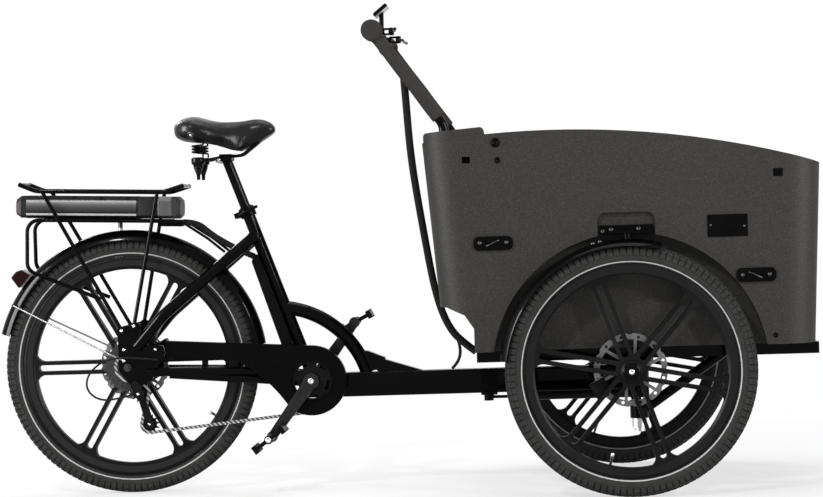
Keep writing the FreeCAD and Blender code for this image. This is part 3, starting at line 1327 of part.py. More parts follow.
def make_frame_cables():
    """Battery lead to the controller, and the shift cable's loop behind the derailleur."""
    level = dock_level() - 3
    high, low = case_corners()[:2]
    entry = (high + low) * 0.5
    away = V(low.z - high.z, 0, high.x - low.x).normalize()
    lead = cable("battery_lead", [
        on_rack(PLUG_FRONT + SEAT_GAP, 0, level), on_rack(PLUG_FRONT + 36, 0, level), V(214, 0, 668), V(250,
                                                                                                        0,
                                                                                                        644),
        entry + away * 40, entry + away * (2 * SEAT_GAP)], 8.0)
    plate = -STAY_Y - DROPOUT_T / 2
    shift = cable("shift_cable", [
        V(78, plate - 2.5 - SEAT_GAP, 348), V(30, plate - 10, 354), V(-20, plate - 18, 358), V(-70,
                                                                                               plate - 20,
                                                                                               346),
        V(-104, plate - 20, 312), V(-106, plate - 19, 274), V(-74, plate - 15, 248), V(-28, plate - 10, 250),
        V(GUIDE_PULLEY_X - 12.6, plate - 7, GUIDE_PULLEY_Z - 1)], 2.5)
    save("frame_cables", lead, shift)


# Front carriage


def make_front_frame():
    """Frame under the box: rails, cross channels, axle plates with stub axles, and the kingpin's brace."""
    low = RAIL_Z
    high = RAIL_Z + RAIL_H
    half = RAIL_W / 2
    rail = block((RAIL_REAR, RAIL_FRONT), (-RAIL_Y - half, -RAIL_Y + half), (low, high))
    rail = rail.cut(block((RAIL_REAR - 1, RAIL_FRONT + 1),
                          (-RAIL_Y - half + RAIL_WALL, -RAIL_Y + half - RAIL_WALL),
                          (low + RAIL_WALL, high - RAIL_WALL)))
    axle = V(WHEELBASE, 0, FRONT_WHEEL_R)
    plate = rounded_plate(axle_plate_outline(), 8.0, -AXLE_PLATE_OUT, -RAIL_Y - half)
    root = axle - V(0, AXLE_PLATE_OUT - 1, 0)
    shoulder = rod(STUB_AXLE_R + 3.5, root, axle - V(0, WHEEL_Y - FRONT_HUB_IN - 0.5, 0))
    stub = rod(STUB_AXLE_R, root, axle - V(0, WHEEL_Y + FRONT_HUB_OUT - HUB_CAP_T - 1, 0))
    hanger = fused([plate, shoulder, stub])
    inner = RAIL_Y - half
    bore = rod(KINGPIN_R + SEAT_GAP, V(KINGPIN_X, 0, 0), V(KINGPIN_X, 0, BOX_FLOOR_Z))
    channels = []
    for middle, width, keep in CROSS_MEMBERS:
        x0 = middle - width / 2
        x1 = middle + width / 2
        channel = block((x0, x1), (-inner, inner), (low, high))
        for y0, y1 in ((-inner + RAIL_WALL, -keep), (keep, inner - RAIL_WALL)):
            channel = channel.cut(block((x0 + RAIL_WALL, x1 - RAIL_WALL), (y0, y1),
                                        (low - 1, high - RAIL_WALL)))
        channels.append(channel.cut(bore))
    collar_low = V(KINGPIN_X, 0, BRACE_Z - 24)
    collar = rod(KINGPIN_R + 10, collar_low, collar_low + V(0, 0, 46))
    brace = rod(BRACE_R, V(KINGPIN_X + 18, 0, BRACE_Z), V(BRACE_X, 0, RAIL_Z + 8))
    brace = brace.cut(block((BRACE_X - 60, BRACE_X + 60), (-60, 60), (RAIL_Z, RAIL_Z + 60)))
    pin = damper_pin()
    arm_top = BRACE_Z + 16
    arm = block((KINGPIN_X - 14, KINGPIN_X + 14), (pin.y - 10, 0), (arm_top - 10, arm_top))
    pivot = rod(DAMPER_PIN_R, V(pin.x, pin.y, arm_top), V(pin.x, pin.y, DAMPER_Z + 14))
    braced = fused([collar, brace, arm]).cut(bore)
    save("front_frame", rail, flip(rail), hanger, flip(hanger), *channels, braced, pivot)
    nut_z = collar_low.z - SEAT_GAP
    kingpin = rod(KINGPIN_R, V(KINGPIN_X, 0, nut_z - 34), V(KINGPIN_X, 0, high))
    nut = rod(KINGPIN_R + 5, V(KINGPIN_X, 0, nut_z - 24), V(KINGPIN_X, 0, nut_z))
    save("kingpin", fused([kingpin, nut]))


def axle_plate_outline():
    """Side outline of the plate that hangs a stub axle from its rail."""
    top = RAIL_Z + RAIL_H
    low = FRONT_WHEEL_R - 26
    return [(WHEELBASE - 60, top), (WHEELBASE - 26, low), (WHEELBASE + 26, low), (WHEELBASE + 60, top)]


def damper_pin():
    """Damper pin on the carriage, set so that the damper lies at the middle of its sideways swing."""
    swing = math.radians(STEER_LIMIT)
    return V(KINGPIN_X, 2 * DAMPER_Y / (1 + math.cos(swing)), 0)


def make_damper():
    """Steering damper: a rod fixed beside the main tube, and a body whose slotted eye takes the pin."""
    pin = damper_pin()
    swing = math.radians(STEER_LIMIT)
    play = 1.5
    stroke = abs(pin.y) * math.sin(swing)
    body_rear = DAMPER_REAR + 50 + stroke
    eye_front = KINGPIN_X - DAMPER_PIN_R - 16
    bore_end = KINGPIN_X - 60
    body = rod(DAMPER_R, V(body_rear, DAMPER_Y, DAMPER_Z), V(eye_front, DAMPER_Y, DAMPER_Z))
    travel = abs(pin.y) * (1 - math.cos(swing)) / 2
    half_x = DAMPER_PIN_R + play + 4
    half_y = DAMPER_PIN_R + play + travel + 4
    eye = block((KINGPIN_X - half_x - 10, KINGPIN_X + half_x), (DAMPER_Y - half_y, DAMPER_Y + half_y),
                (DAMPER_Z - 7, DAMPER_Z + 7))
    slot = block((KINGPIN_X - half_x + 4, KINGPIN_X + half_x - 4),
                 (DAMPER_Y - half_y + 4, DAMPER_Y + half_y - 4),
                 (DAMPER_Z - 20, DAMPER_Z + 20))
    bore = rod(DAMPER_ROD_R + RUN_GAP, V(body_rear - 1, DAMPER_Y, DAMPER_Z), V(bore_end, DAMPER_Y, DAMPER_Z))
    save("damper_body", fused([body, eye]).cut(slot).cut(bore))
    rod_end = bore_end - stroke - 4
    bar = rod(DAMPER_ROD_R, V(DAMPER_REAR, DAMPER_Y, DAMPER_Z), V(rod_end, DAMPER_Y, DAMPER_Z))
    ball = rod(12, V(DAMPER_REAR, DAMPER_Y, DAMPER_Z - 9), V(DAMPER_REAR, DAMPER_Y, DAMPER_Z + 9))
    side = -MAIN_TUBE_W / 2 - SEAT_GAP
    foot = block((DAMPER_REAR - 20, DAMPER_REAR + 22), (side - 8, side), (DAMPER_Z + 4, MAIN_TUBE_TOP - 4))
    ledge = block((DAMPER_REAR - 14, DAMPER_REAR + 14), (DAMPER_Y - 7, side - 1),
                  (DAMPER_Z + 5, DAMPER_Z + 13))
    save("damper_rod", fused([bar, ball, foot, ledge]))


def box_body(inset, floor):
    """Solid outer (inset 0) or inner form of the load box, without its rim curve."""
    high = BOX_RIM_HIGH_Z + 105
    rear_slope = BOX_REAR_DRAFT / BOX_REAR_H
    front_slope = BOX_FRONT_DRAFT / BOX_FRONT_H
    half = BOX_HALF_W - inset
    wires = []
    for z in (floor, high):
        up = z - BOX_FLOOR_Z
        rear = BOX_REAR_LOW - rear_slope * up + inset
        front = BOX_FRONT_LOW + front_slope * up - inset
        corners = [V(rear, -half, z), V(front, -half, z), V(front, half, z), V(rear, half, z)]
        wires.append(rounded_outline(corners, BOX_CORNER_R - inset))
    body = Part.makeLoft(wires, True, True)
    far = 2 * BOX_HALF_W
    back = BOX_REAR_TOP - far
    notch_x = BOX_NOTCH_X + inset
    notch_z = BOX_NOTCH_Z + inset
    step = BOX_NOTCH_STEP
    notch = polygon_plate([(back, 0), (notch_x, 0), (notch_x, notch_z - 2.4 * step),
                           (notch_x - step, notch_z - 0.9 * step),
                           (notch_x - 3 * step, notch_z), (back, notch_z)], -far, far)
    body = body.cut(notch)
    well_top = FRONT_WHEEL_R + WELL_R
    rear = WHEELBASE - POCKET_REAR - inset
    front = WHEELBASE + POCKET_FRONT + inset
    low = well_top - 60
    high = well_top + POCKET_H + inset
    outline = [(rear, low), (front, low), (front, high), (rear, high)]
    pocket = rounded_plate(outline, POCKET_CORNER_R + inset, -far, -BOX_HALF_W + POCKET_DEPTH + inset)
    centre = V(WHEELBASE, -WELL_HALF_W + inset, FRONT_WHEEL_R)
    well = rod(WELL_R + inset, centre, centre - V(0, far, 0))
    for cutter in (well, pocket):
        body = body.cut(cutter).cut(flip(cutter))
    return body


def box_rim_z(x):
    """Height of the box's rim arc at a distance from the rear axle."""
    centre, radius = box_rim_circle()
    return centre.z + math.sqrt(radius ** 2 - (x - centre.x) ** 2)


def box_rim_circle():
    """Centre and radius of the rim's arc through its rear end, its high point and its front end."""
    rear = V(BOX_REAR_TOP, 0, BOX_RIM_REAR_Z)
    high = V(BOX_RIM_HIGH_X, 0, BOX_RIM_HIGH_Z)
    front = V(BOX_FRONT_TOP, 0, BOX_RIM_FRONT_Z)
    curve = Part.Arc(rear, high, front).toShape().Curve
    return curve.Center, curve.Radius


def box_shoulders():
    """Raised blocks over the rim's rear corners, which the handlebar's legs go down through."""
    rear = BOX_REAR_TOP + 4
    front = rear + SHOULDER_LENGTH
    low = BAR_FOOT_Z + BAR_FOOT_T + SEAT_GAP
    outline = [(rear, low), (rear, box_rim_z(rear) + SHOULDER_H),
               (front - 8, box_rim_z(front) + SHOULDER_H - 5), (front, low)]
    far = 2 * BOX_HALF_W
    blocks = rounded_plate(outline, 9.0, -far, far).common(box_body(BOX_WALL / 3, BOX_FLOOR_Z))
    inner = BOX_HALF_W - SHOULDER_W
    blocks = blocks.cut(block((rear - 50, front + 50), (-inner, inner), (low - 50, low + 100)))
    leg = rod(BAR_R + SEAT_GAP, V(BAR_FOOT_X, -BAR_HALF_W, low - 50), V(BAR_FOOT_X, -BAR_HALF_W, low + 100))
    return blocks.cut(leg).cut(flip(leg))


def make_cargo_box():
    """Moulded load box: drafted ends, a rim that falls away forwards, wheel wells, pockets and shoulders."""
    shell = box_body(0, BOX_FLOOR_Z).cut(box_body(BOX_WALL, BOX_FLOOR_Z + BOX_WALL))
    far = 2 * BOX_HALF_W
    rear = V(BOX_REAR_TOP, -far, BOX_RIM_REAR_Z)
    high = V(BOX_RIM_HIGH_X, -far, BOX_RIM_HIGH_Z)
    front = V(BOX_FRONT_TOP, -far, BOX_RIM_FRONT_Z)
    rim = Part.Arc(rear, high, front).toShape()
    way_in = rear - V(60, 0, 12)
    way_out = front + V(60, 0, -22)
    roof_in = way_in + V(0, 0, far)
    roof_out = V(way_out.x, way_out.y, roof_in.z)
    above = Part.Wire([
        Part.makeLine(way_in, rear), rim, Part.makeLine(front, way_out),
        Part.makeLine(way_out, roof_out), Part.makeLine(roof_out, roof_in), Part.makeLine(roof_in, way_in),
    ])
    shell = shell.cut(Part.Face(above).extrude(V(0, 2 * far, 0)))
    for x, drop in ((BOX_NOTCH_X - 7, 58.0), (BOX_FRONT_TOP - 108, 53.0)):
        z = box_rim_z(x) - drop
        shell = shell.cut(block((x - SOCKET_W / 2, x + SOCKET_W / 2), (-far, far),
                                (z - SOCKET_H / 2, z + SOCKET_H / 2)))
    panel_z = BOX_FLOOR_Z + BOX_WALL - 2
    edge = WELL_HALF_W - FLOOR_PANEL_EDGE
    ends = (BOX_NOTCH_X + 98, BOX_FRONT_LOW - FLOOR_PANEL_EDGE)
    corners = [V(ends[0], -edge, panel_z), V(ends[1], -edge, panel_z), V(ends[1], edge, panel_z),
               V(ends[0], edge, panel_z)]
    panel = Part.Face(rounded_outline(corners, 40.0)).extrude(V(0, 0, 2 + FLOOR_PANEL_T))
    save("cargo_box", fused([shell, panel, box_shoulders()]))


def side_plate(place, length, height, corner, thickness):
    """Flat plate on the box's right side, by its angle at the front axle and its way from the well."""
    angle = math.radians(place[0])
    reach = WELL_R + place[1]
    x = WHEELBASE + reach * math.cos(angle)
    z = FRONT_WHEEL_R + reach * math.sin(angle)
    rear = x - length / 2
    front = x + length / 2
    low = z - height / 2
    high = z + height / 2
    face = -BOX_HALF_W - SEAT_GAP
    return rounded_plate([(rear, low), (front, low), (front, high), (rear, high)], corner, face - thickness,
                         face)


def make_box_fittings():
    """Tie-down plates on both sides of the box, and a bare plate on the right side."""
    pieces = []
    for place in TIE_PLATES:
        plate = side_plate(place, TIE_PLATE_L, TIE_PLATE_H, 13.0, TIE_PLATE_T)
        pieces += [plate, flip(plate)]
    pieces.append(side_plate(BADGE_PLATE, BADGE_PLATE_L, BADGE_PLATE_H, 2.0, BADGE_PLATE_T))
    save("box_fittings", *pieces)


def make_front_fenders():
    """Front mudguards, the brackets in the box's pockets that carry their crowns, and a stay to each rail."""
    strip = guard_arc(FENDER_R, FENDER_HALF_W, FENDER_DROOP, FENDER_T, FENDER_FRONT, FENDER_REAR)
    strip = moved(strip, V(WHEELBASE, -WHEEL_Y, FRONT_WHEEL_R))
    save("front_fenders", strip, flip(strip))
    crown = FRONT_WHEEL_R + FENDER_R
    face = -BOX_HALF_W + POCKET_DEPTH - SEAT_GAP
    rear = WHEELBASE - POCKET_REAR + 4
    front = WHEELBASE + POCKET_FRONT - 4
    low = crown + 10
    high = crown + 34
    hanger = rounded_plate([(rear, low), (front, low), (front, high), (rear, high)], 4.0, face - 6, face)
    tongue = block((WHEELBASE - 44, WHEELBASE + 38), (-WHEEL_Y - 14, face), (low + 4, low + 10))
    post = rod(8, V(WHEELBASE, -WHEEL_Y, crown + 0.3), V(WHEELBASE, -WHEEL_Y, low + 6))
    bracket = fused([hanger, tongue, post])
    turn = math.radians(172)
    edge_r = FENDER_R - FENDER_DROOP - FENDER_T / 2
    inner_y = -WHEEL_Y + FENDER_HALF_W
    wire_r = 2.5
    start = V(WHEELBASE + edge_r * math.cos(turn), inner_y + wire_r + SEAT_GAP,
              FRONT_WHEEL_R + edge_r * math.sin(turn))
    rail_face = -RAIL_Y - RAIL_W / 2 - SEAT_GAP - wire_r
    stay = rod(wire_r, start, V(start.x + 46, rail_face, RAIL_Z + 10))
    save("fender_brackets", bracket, flip(bracket), stay, flip(stay))


def make_front_calipers():
    plate_out = AXLE_PLATE_OUT
    reach = WHEEL_Y - FRONT_HUB_IN - ROTOR_T / 2 - plate_out - SEAT_GAP
    unit = caliper(FRONT_HUB_IN, 1, reach + 12)
    unit = moved(turned_to(unit, CALIPER_ANGLE), V(WHEELBASE, -WHEEL_Y, FRONT_WHEEL_R))
    wall = rounded_plate(axle_plate_outline(), 8.0 + SEAT_GAP, -plate_out - SEAT_GAP, -plate_out + 20)
    unit = unit.cut(wall)
    arm_y = (-plate_out - SEAT_GAP - 10, -plate_out - SEAT_GAP)
    turn = math.radians(CALIPER_ANGLE)
    far = V(WHEELBASE + CALIPER_R * math.cos(turn), 0, FRONT_WHEEL_R + CALIPER_R * math.sin(turn))
    arm = polygon_plate([(far.x - 10, far.z - 14), (far.x + 14, far.z - 16),
                         (WHEELBASE - 12, FRONT_WHEEL_R - 18),
                         (WHEELBASE - 20, FRONT_WHEEL_R + 16), (far.x - 2, far.z + 18)], *arm_y)
    unit = fused([unit, arm])
    save("front_calipers", unit, flip(unit))


# Handlebar


def bar_path():
    """Left foot, up the left leg, across, and down the right leg to the right foot."""
    left = [V(BAR_FOOT_X, BAR_HALF_W, BAR_FOOT_Z), V(BAR_FOOT_X, BAR_HALF_W, BAR_KINK_Z),
            V(BAR_TOP_X, BAR_HALF_W, BAR_TOP_Z)]
    right = [V(p.x, -p.y, p.z) for p in reversed(left)]
    return left + right


def make_handlebar():
    """Looped bar whose legs end in a foot bolted inside each wall of the box, and padding with round ends."""
    bar = bent_rod(bar_path(), BAR_BEND, BAR_R)
    inside = BOX_HALF_W - BOX_WALL - SEAT_GAP
    foot_z = (BAR_FOOT_Z, BAR_FOOT_Z + BAR_FOOT_T)
    bolts_x = (BAR_FOOT_X + 106, BAR_FOOT_X + 150)
    edge = BAR_HALF_W - 14
    foot = block((BAR_FOOT_X - 18, bolts_x[1]), (-BAR_HALF_W - 14, -edge), foot_z)
    shelf = block(bolts_x, (-inside, -edge), foot_z)
    drop = block(bolts_x, (-inside, -inside + 6), (BAR_FOOT_Z - 45, BAR_FOOT_Z + 34))
    feet = fused([foot, shelf, drop])
    save("handlebar", fused([bar, feet, flip(feet)]))
    top = V(BAR_TOP_X, -BAR_HALF_W, BAR_TOP_Z)
    kink = V(BAR_FOOT_X, -BAR_HALF_W, BAR_KINK_Z)
    points = [kink + (top - kink).normalize() * 20, top, V(BAR_TOP_X, -PERCH_Y - 24, BAR_TOP_Z)]
    end_pad = rod(BAR_END_R, top - V(0, BAR_END_W / 2, 0), top + V(0, BAR_END_W / 2, 0))
    cover = fused([bent_rod(points, BAR_BEND, BAR_COVER_R), end_pad])
    cover = cover.cut(bent_rod(bar_path(), BAR_BEND, BAR_R + SEAT_GAP))
    save("handlebar_cover", cover, flip(cover))


def lever_axis():
    """Pivot of the right brake lever, in front of the bar."""
    return V(BAR_TOP_X + LEVER_REACH - 8, -PERCH_Y + 4, BAR_TOP_Z + 8)


def make_brake_levers():
    pivot = lever_axis()
    perch = sleeve(BAR_R + 6, BAR_R + SEAT_GAP, V(BAR_TOP_X, -PERCH_Y - 12, BAR_TOP_Z),
                   V(BAR_TOP_X, -PERCH_Y + 14, BAR_TOP_Z))
    arms = []
    for z in (-9, 4.3):
        arms.append(block((BAR_TOP_X + BAR_R + 3, pivot.x + 7), (pivot.y - 7, pivot.y + 8),
                          (pivot.z + z, pivot.z + z + 4.7)))
    rear = block((BAR_TOP_X + BAR_R + 3, BAR_TOP_X + BAR_R + 9), (pivot.y - 7, pivot.y + 8),
                 (pivot.z - 9, pivot.z + 9))
    pin = rod(2.5, pivot - V(0, 0, 10), pivot + V(0, 0, 10))
    perch = fused([perch, rear, pin] + arms)
    perch = perch.cut(rod(BAR_R + SEAT_GAP, V(BAR_TOP_X, -PERCH_Y - 40, BAR_TOP_Z),
                          V(BAR_TOP_X, -PERCH_Y + 60, BAR_TOP_Z)))
    blade_points = [pivot, pivot + V(10, -26, 0), pivot + V(12, -92, -2), pivot + V(16, -118, -2)]
    blade = bent_rod(blade_points, 16.0, 3.9)
    eye = rod(7, pivot - V(0, 0, 3.9), pivot + V(0, 0, 3.9))
    lever = fused([blade, eye]).cut(rod(2.5 + RUN_GAP, pivot - V(0, 0, 12), pivot + V(0, 0, 12)))
    save("brake_lever_right", lever)
    save("brake_lever_left", flip(lever))
    tilt = 39.0
    screen = rounded_plate([(-22, -4), (22, -4), (22, 4), (-22, 4)], 3.0, -42, 42)
    screen = moved(turned_to(screen, tilt), V(BAR_TOP_X + 4, 0, BAR_TOP_Z + 73))
    clamp = sleeve(BAR_R + 5, BAR_R + SEAT_GAP, V(BAR_TOP_X, -12, BAR_TOP_Z), V(BAR_TOP_X, 12, BAR_TOP_Z))
    neck = rod(6, V(BAR_TOP_X + 4, 0, BAR_TOP_Z + BAR_R + 2), V(BAR_TOP_X + 5, 0, BAR_TOP_Z + 72))
    save("bar_controls", perch, flip(perch), fused([screen, clamp, neck]))


def make_steering_cables():
    """Wrapped cable bundle from the bar to the carriage, and the lead that goes on to the main tube."""
    bundle_r = 9.5
    lead_r = 4.0
    leg_y = -BAR_HALF_W + 30
    end_y = -138.0
    # Distance from the bar's foot, share of the way inwards, and height over the box floor
    route = (
        (-104, 0.0, 686), (-98, 0.02, 630), (-96, 0.07, 570), (-94, 0.15, 510), (-90, 0.23, 452), (-82,
                                                                                                   0.33,
                                                                                                   392),
        (-73, 0.43, 332), (-65, 0.52, 274), (-56, 0.63, 216), (-48, 0.73, 160), (-38, 0.83, 108), (-20, 0.9,
                                                                                                   60),
        (10, 0.95, 20),
    )
    points = [V(BAR_FOOT_X + x, leg_y + share * (end_y - leg_y), BOX_FLOOR_Z + z) for x, share, z in route]
    points.append(V(RAIL_REAR - 6.2, end_y, RAIL_Z + 17))
    bundle = cable("cable_bundle", points, bundle_r)
    side_y = points[-2].y + bundle_r + lead_r + SEAT_GAP
    across = -14.3 - side_y
    top = MAIN_TUBE_TOP + lead_r
    lead = cable("frame_lead", [
        V(BAR_FOOT_X + 8, side_y, BOX_FLOOR_Z + 23), V(BAR_FOOT_X + 16, side_y + 0.27 * across, top + 60),
        V(BAR_FOOT_X + 14, side_y + 0.59 * across, top + 34), V(BAR_FOOT_X + 4, side_y + 0.85 * across,
                                                                top + 12),
        V(BAR_FOOT_X - 8, side_y + across, top)], lead_r)
    save("steering_cables", bundle, lead)


os.makedirs("parts", exist_ok=True)
make_rear_wheel()
make_front_wheels()
make_main_tube()
make_seat_tube()
make_curved_tube()
make_rear_stays()
make_frame_lugs()
make_frame_bearings()
make_controller_case()
make_seat()
make_seat_clamp()
make_chain()
make_cassette()
make_derailleur()
make_crank()
make_pedals()
make_chain_guard()
make_rack()
make_rack_legs()
make_battery_dock()
make_battery()
make_rear_mudguard()
make_rear_axle()
make_frame_cables()
make_front_frame()
make_damper()
make_cargo_box()
make_box_fittings()
make_front_fenders()
make_front_calipers()
make_handlebar()
make_brake_levers()
make_steering_cables()
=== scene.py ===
# %% [markdown]
# # Dressing a cargo tricycle
# The imported model already holds every solid piece at its real size. This lesson adds what a
# camera sees: light, finishes, tread, screws and cables. Each step first says what the real thing is,
# and then why it is made this way.

# %% Load the imported model
import math
from collections import namedtuple

import bmesh
import bpy
from mathutils import Matrix, Vector


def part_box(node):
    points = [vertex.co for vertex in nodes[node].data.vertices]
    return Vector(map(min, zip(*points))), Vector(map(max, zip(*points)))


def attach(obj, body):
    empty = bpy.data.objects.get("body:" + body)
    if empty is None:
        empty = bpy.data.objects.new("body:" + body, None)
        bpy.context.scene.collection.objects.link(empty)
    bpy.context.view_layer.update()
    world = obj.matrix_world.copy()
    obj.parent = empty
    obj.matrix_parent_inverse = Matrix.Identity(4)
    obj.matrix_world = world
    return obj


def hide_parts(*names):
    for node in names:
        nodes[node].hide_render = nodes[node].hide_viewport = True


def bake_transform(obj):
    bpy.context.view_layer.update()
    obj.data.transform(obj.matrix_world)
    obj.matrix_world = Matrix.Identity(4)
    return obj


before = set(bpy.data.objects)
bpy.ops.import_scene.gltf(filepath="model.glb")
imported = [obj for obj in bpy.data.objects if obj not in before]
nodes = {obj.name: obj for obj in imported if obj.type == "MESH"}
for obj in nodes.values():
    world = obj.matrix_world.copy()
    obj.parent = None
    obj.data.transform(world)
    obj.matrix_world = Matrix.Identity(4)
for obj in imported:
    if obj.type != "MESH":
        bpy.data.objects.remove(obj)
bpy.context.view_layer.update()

scene = bpy.context.scene
axle_low, axle_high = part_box("rear_axle")
REAR_X = (axle_low.x + axle_high.x) / 2


def at(x, y, z):
    """Metres in the model's frame, from millimetres ahead of the rear axle, to the left and up."""
    return Vector((REAR_X + x / 1000, y / 1000, z / 1000))


print(len(nodes), "solid nodes, rear axle at x =", round(REAR_X, 4))

# %% [markdown]
# ## Camera
# The photograph was taken from the right with a long lens, slightly turned and rolled. The
# camera's place was found from the wheel outlines, so its angles are given here as turns about
# the upright, the sideways and the viewing axis.

# %% Camera
PHOTO_WIDTH = 823
FOCAL_PIXELS = 2515.2
SENSOR = 36.0
camera_data = bpy.data.cameras.new("photo_camera")
camera_data.sensor_width = SENSOR
camera_data.lens = FOCAL_PIXELS * SENSOR / PHOTO_WIDTH
camera_data.clip_end = 60
camera = bpy.data.objects.new("photo_camera", camera_data)
scene.collection.objects.link(camera)
scene.camera = camera
CAMERA_PLACE = (1063.54, -6505.54, 720.21)
YAW, PITCH, ROLL = -0.05022, -0.01654, -0.03214
UPRIGHT = Vector((0, 0, 1))
level_ahead = Vector((math.sin(YAW), math.cos(YAW), 0))
level_right = Vector((math.cos(YAW), -math.sin(YAW), 0))
ahead = level_ahead * math.cos(PITCH) + UPRIGHT * math.sin(PITCH)
level_above = UPRIGHT * math.cos(PITCH) - level_ahead * math.sin(PITCH)
right = level_right * math.cos(ROLL) + level_above * math.sin(ROLL)
above = level_above * math.cos(ROLL) - level_right * math.sin(ROLL)
camera_turn = Matrix((right, above, -ahead)).transposed().to_4x4()
camera.matrix_world = Matrix.Translation(at(*CAMERA_PLACE)) @ camera_turn
print("lens", round(camera_data.lens, 1), "mm")

# %% [markdown]
# ## Shader maths
# A finish is a small network of nodes. Wrapping a socket in a class lets the network be written
# as Python sums, so that a mask reads as `1 - grain * 0.5`. Every other node is added by one
# method, which takes its type, its settings and its inputs.

# %% Socket class
class Wire:
    """An output socket of a finish. Python operators on it add Math nodes."""

    def __init__(self, tree, socket):
        self.tree = tree
        self.socket = socket

    def node(self, kind, settings=None, inputs=None, output=0):
        made = self.tree.nodes.new(kind)
        for name, value in (settings or {}).items():
            if name == "stops":
                ramp = made.color_ramp.elements
                for element, (place, colour) in zip(ramp, value):
                    element.position = place
                    element.color = (*colour, 1)
                for place, colour in value[len(ramp):]:
                    ramp.new(place).color = (*colour, 1)
            else:
                setattr(made, name, value)
        for name, value in (inputs or {}).items():
            if isinstance(value, Wire):
                self.tree.links.new(value.socket, made.inputs[name])
            else:
                made.inputs[name].default_value = value
        return Wire(self.tree, made.outputs[output])

    def maths(self, operation, first, second):
        return self.node("ShaderNodeMath", {"operation": operation}, {0: first, 1: second})

    def __add__(self, other):
        return self.maths("ADD", self, other)

    def __sub__(self, other):
        return self.maths("SUBTRACT", self, other)

    def __rsub__(self, other):
        return self.maths("SUBTRACT", other, self)

    def __mul__(self, other):
        return self.maths("MULTIPLY", self, other)

    def __gt__(self, other):
        return self.maths("GREATER_THAN", self, other)

    def __lt__(self, other):
        return self.maths("LESS_THAN", self, other)

    __radd__ = __add__
    __rmul__ = __mul__

    def feed(self, socket_name):
        shader = self.tree.nodes["Principled BSDF"]
        self.tree.links.new(self.socket, shader.inputs[socket_name])


# %% Helpers for finishes
def new_finish(name, **fixed):
    """A material with constant shader values, and the wire of its Object coordinates."""
    material = bpy.data.materials.new(name)
    material.use_nodes = True
    shader = material.node_tree.nodes["Principled BSDF"]
    for socket_name, value in fixed.items():
        shader.inputs[socket_name.replace("_", " ")].default_value = value
    place = material.node_tree.nodes.new("ShaderNodeTexCoord")
    return material, Wire(material.node_tree, place.outputs["Object"])


def cloud(place, scale, detail=3.0, rough=0.5, stretch=None):
    """Soft noise, from 0 to 1, with cells of about 1/scale metres."""
    if stretch:
        place = place.node("ShaderNodeMapping", None, {"Vector": place, "Scale": stretch})
    inputs = {"Vector": place, "Scale": scale, "Detail": detail, "Roughness": rough}
    return place.node("ShaderNodeTexNoise", None, inputs)


def between(wire, low, high):
    """The wire's range from low to high, spread over 0 to 1 and clipped."""
    inputs = {"Value": wire, "From Min": low, "From Max": high}
    return wire.node("ShaderNodeMapRange", None, inputs)


def tint(mask, first, second):
    """A colour that goes from the first to the second with the mask. Each is a colour or a wire."""
    first, second = [c if isinstance(c, Wire) else (*c, 1) for c in (first, second)]
    return mask.node("ShaderNodeMix", {"data_type": "RGBA"}, {0: mask, 6: first, 7: second}, output=2)


def relief(height, distance, strength=1.0, below=None):
    """Bumps of a real height in metres, on top of another relief."""
    inputs = {"Height": height, "Distance": distance, "Strength": strength}
    if below:
        inputs["Normal"] = below
    return height.node("ShaderNodeBump", None, inputs)


def along(place, axis):
    """One coordinate, in metres: 0 forward, 1 to the left, 2 up."""
    return place.node("ShaderNodeSeparateXYZ", None, {"Vector": place}, output=axis)


def grey(level, warmth=0.0):
    """A neutral colour, or a slightly brown one."""
    return (level * (1 + warmth), level, level * (1 - warmth))


# %% [markdown]
# ## Light and floor
# A product photograph has a white sweep. The world is white to the camera, mirrors and glass, and
# dimmer as a lamp, so that black paint keeps its depth. Two small lamps light the near side and
# two large ones the top and the far side. Two upright panels only show in shiny surfaces, where they
# draw the bright lines along the tubes. The floor is pale, keeps a faint shadow near the wheels, and
# fades into the white backdrop further out.

# %% World, floor and lamps
def looking_rays(tree):
    """1 for rays that look at a surface, and 0 for rays that carry light."""
    rays = tree.nodes.new("ShaderNodeLightPath")
    seen = Wire(tree, rays.outputs["Is Camera Ray"])
    mirrored = Wire(tree, rays.outputs["Is Glossy Ray"])
    passed = Wire(tree, rays.outputs["Is Transmission Ray"])
    return between(seen + mirrored + passed, 0.0, 1.0)


def soft_lamp(name, place, target, size, power, mirrored_only):
    """A soft box of a width and a height that faces a point, or one that only shows in shiny surfaces."""
    data = bpy.data.lights.new(name, "AREA")
    data.shape = "RECTANGLE"
    data.size, data.size_y = size
    data.energy = power
    lamp = bpy.data.objects.new(name, data)
    scene.collection.objects.link(lamp)
    face = (target - place).to_track_quat("-Z", "Y").to_matrix().to_4x4()
    lamp.matrix_world = Matrix.Translation(place) @ face
    lamp.visible_diffuse = not mirrored_only


AMBIENT = 0.42
world = bpy.data.worlds.new("studio")
scene.world = world
world.use_nodes = True
backdrop = world.node_tree.nodes["Background"]
strength = looking_rays(world.node_tree) * (1 - AMBIENT) + AMBIENT
backdrop.inputs["Color"].default_value = (1, 1, 1, 1)
world.node_tree.links.new(strength.socket, backdrop.inputs["Strength"])
scene.view_settings.view_transform = "Standard"

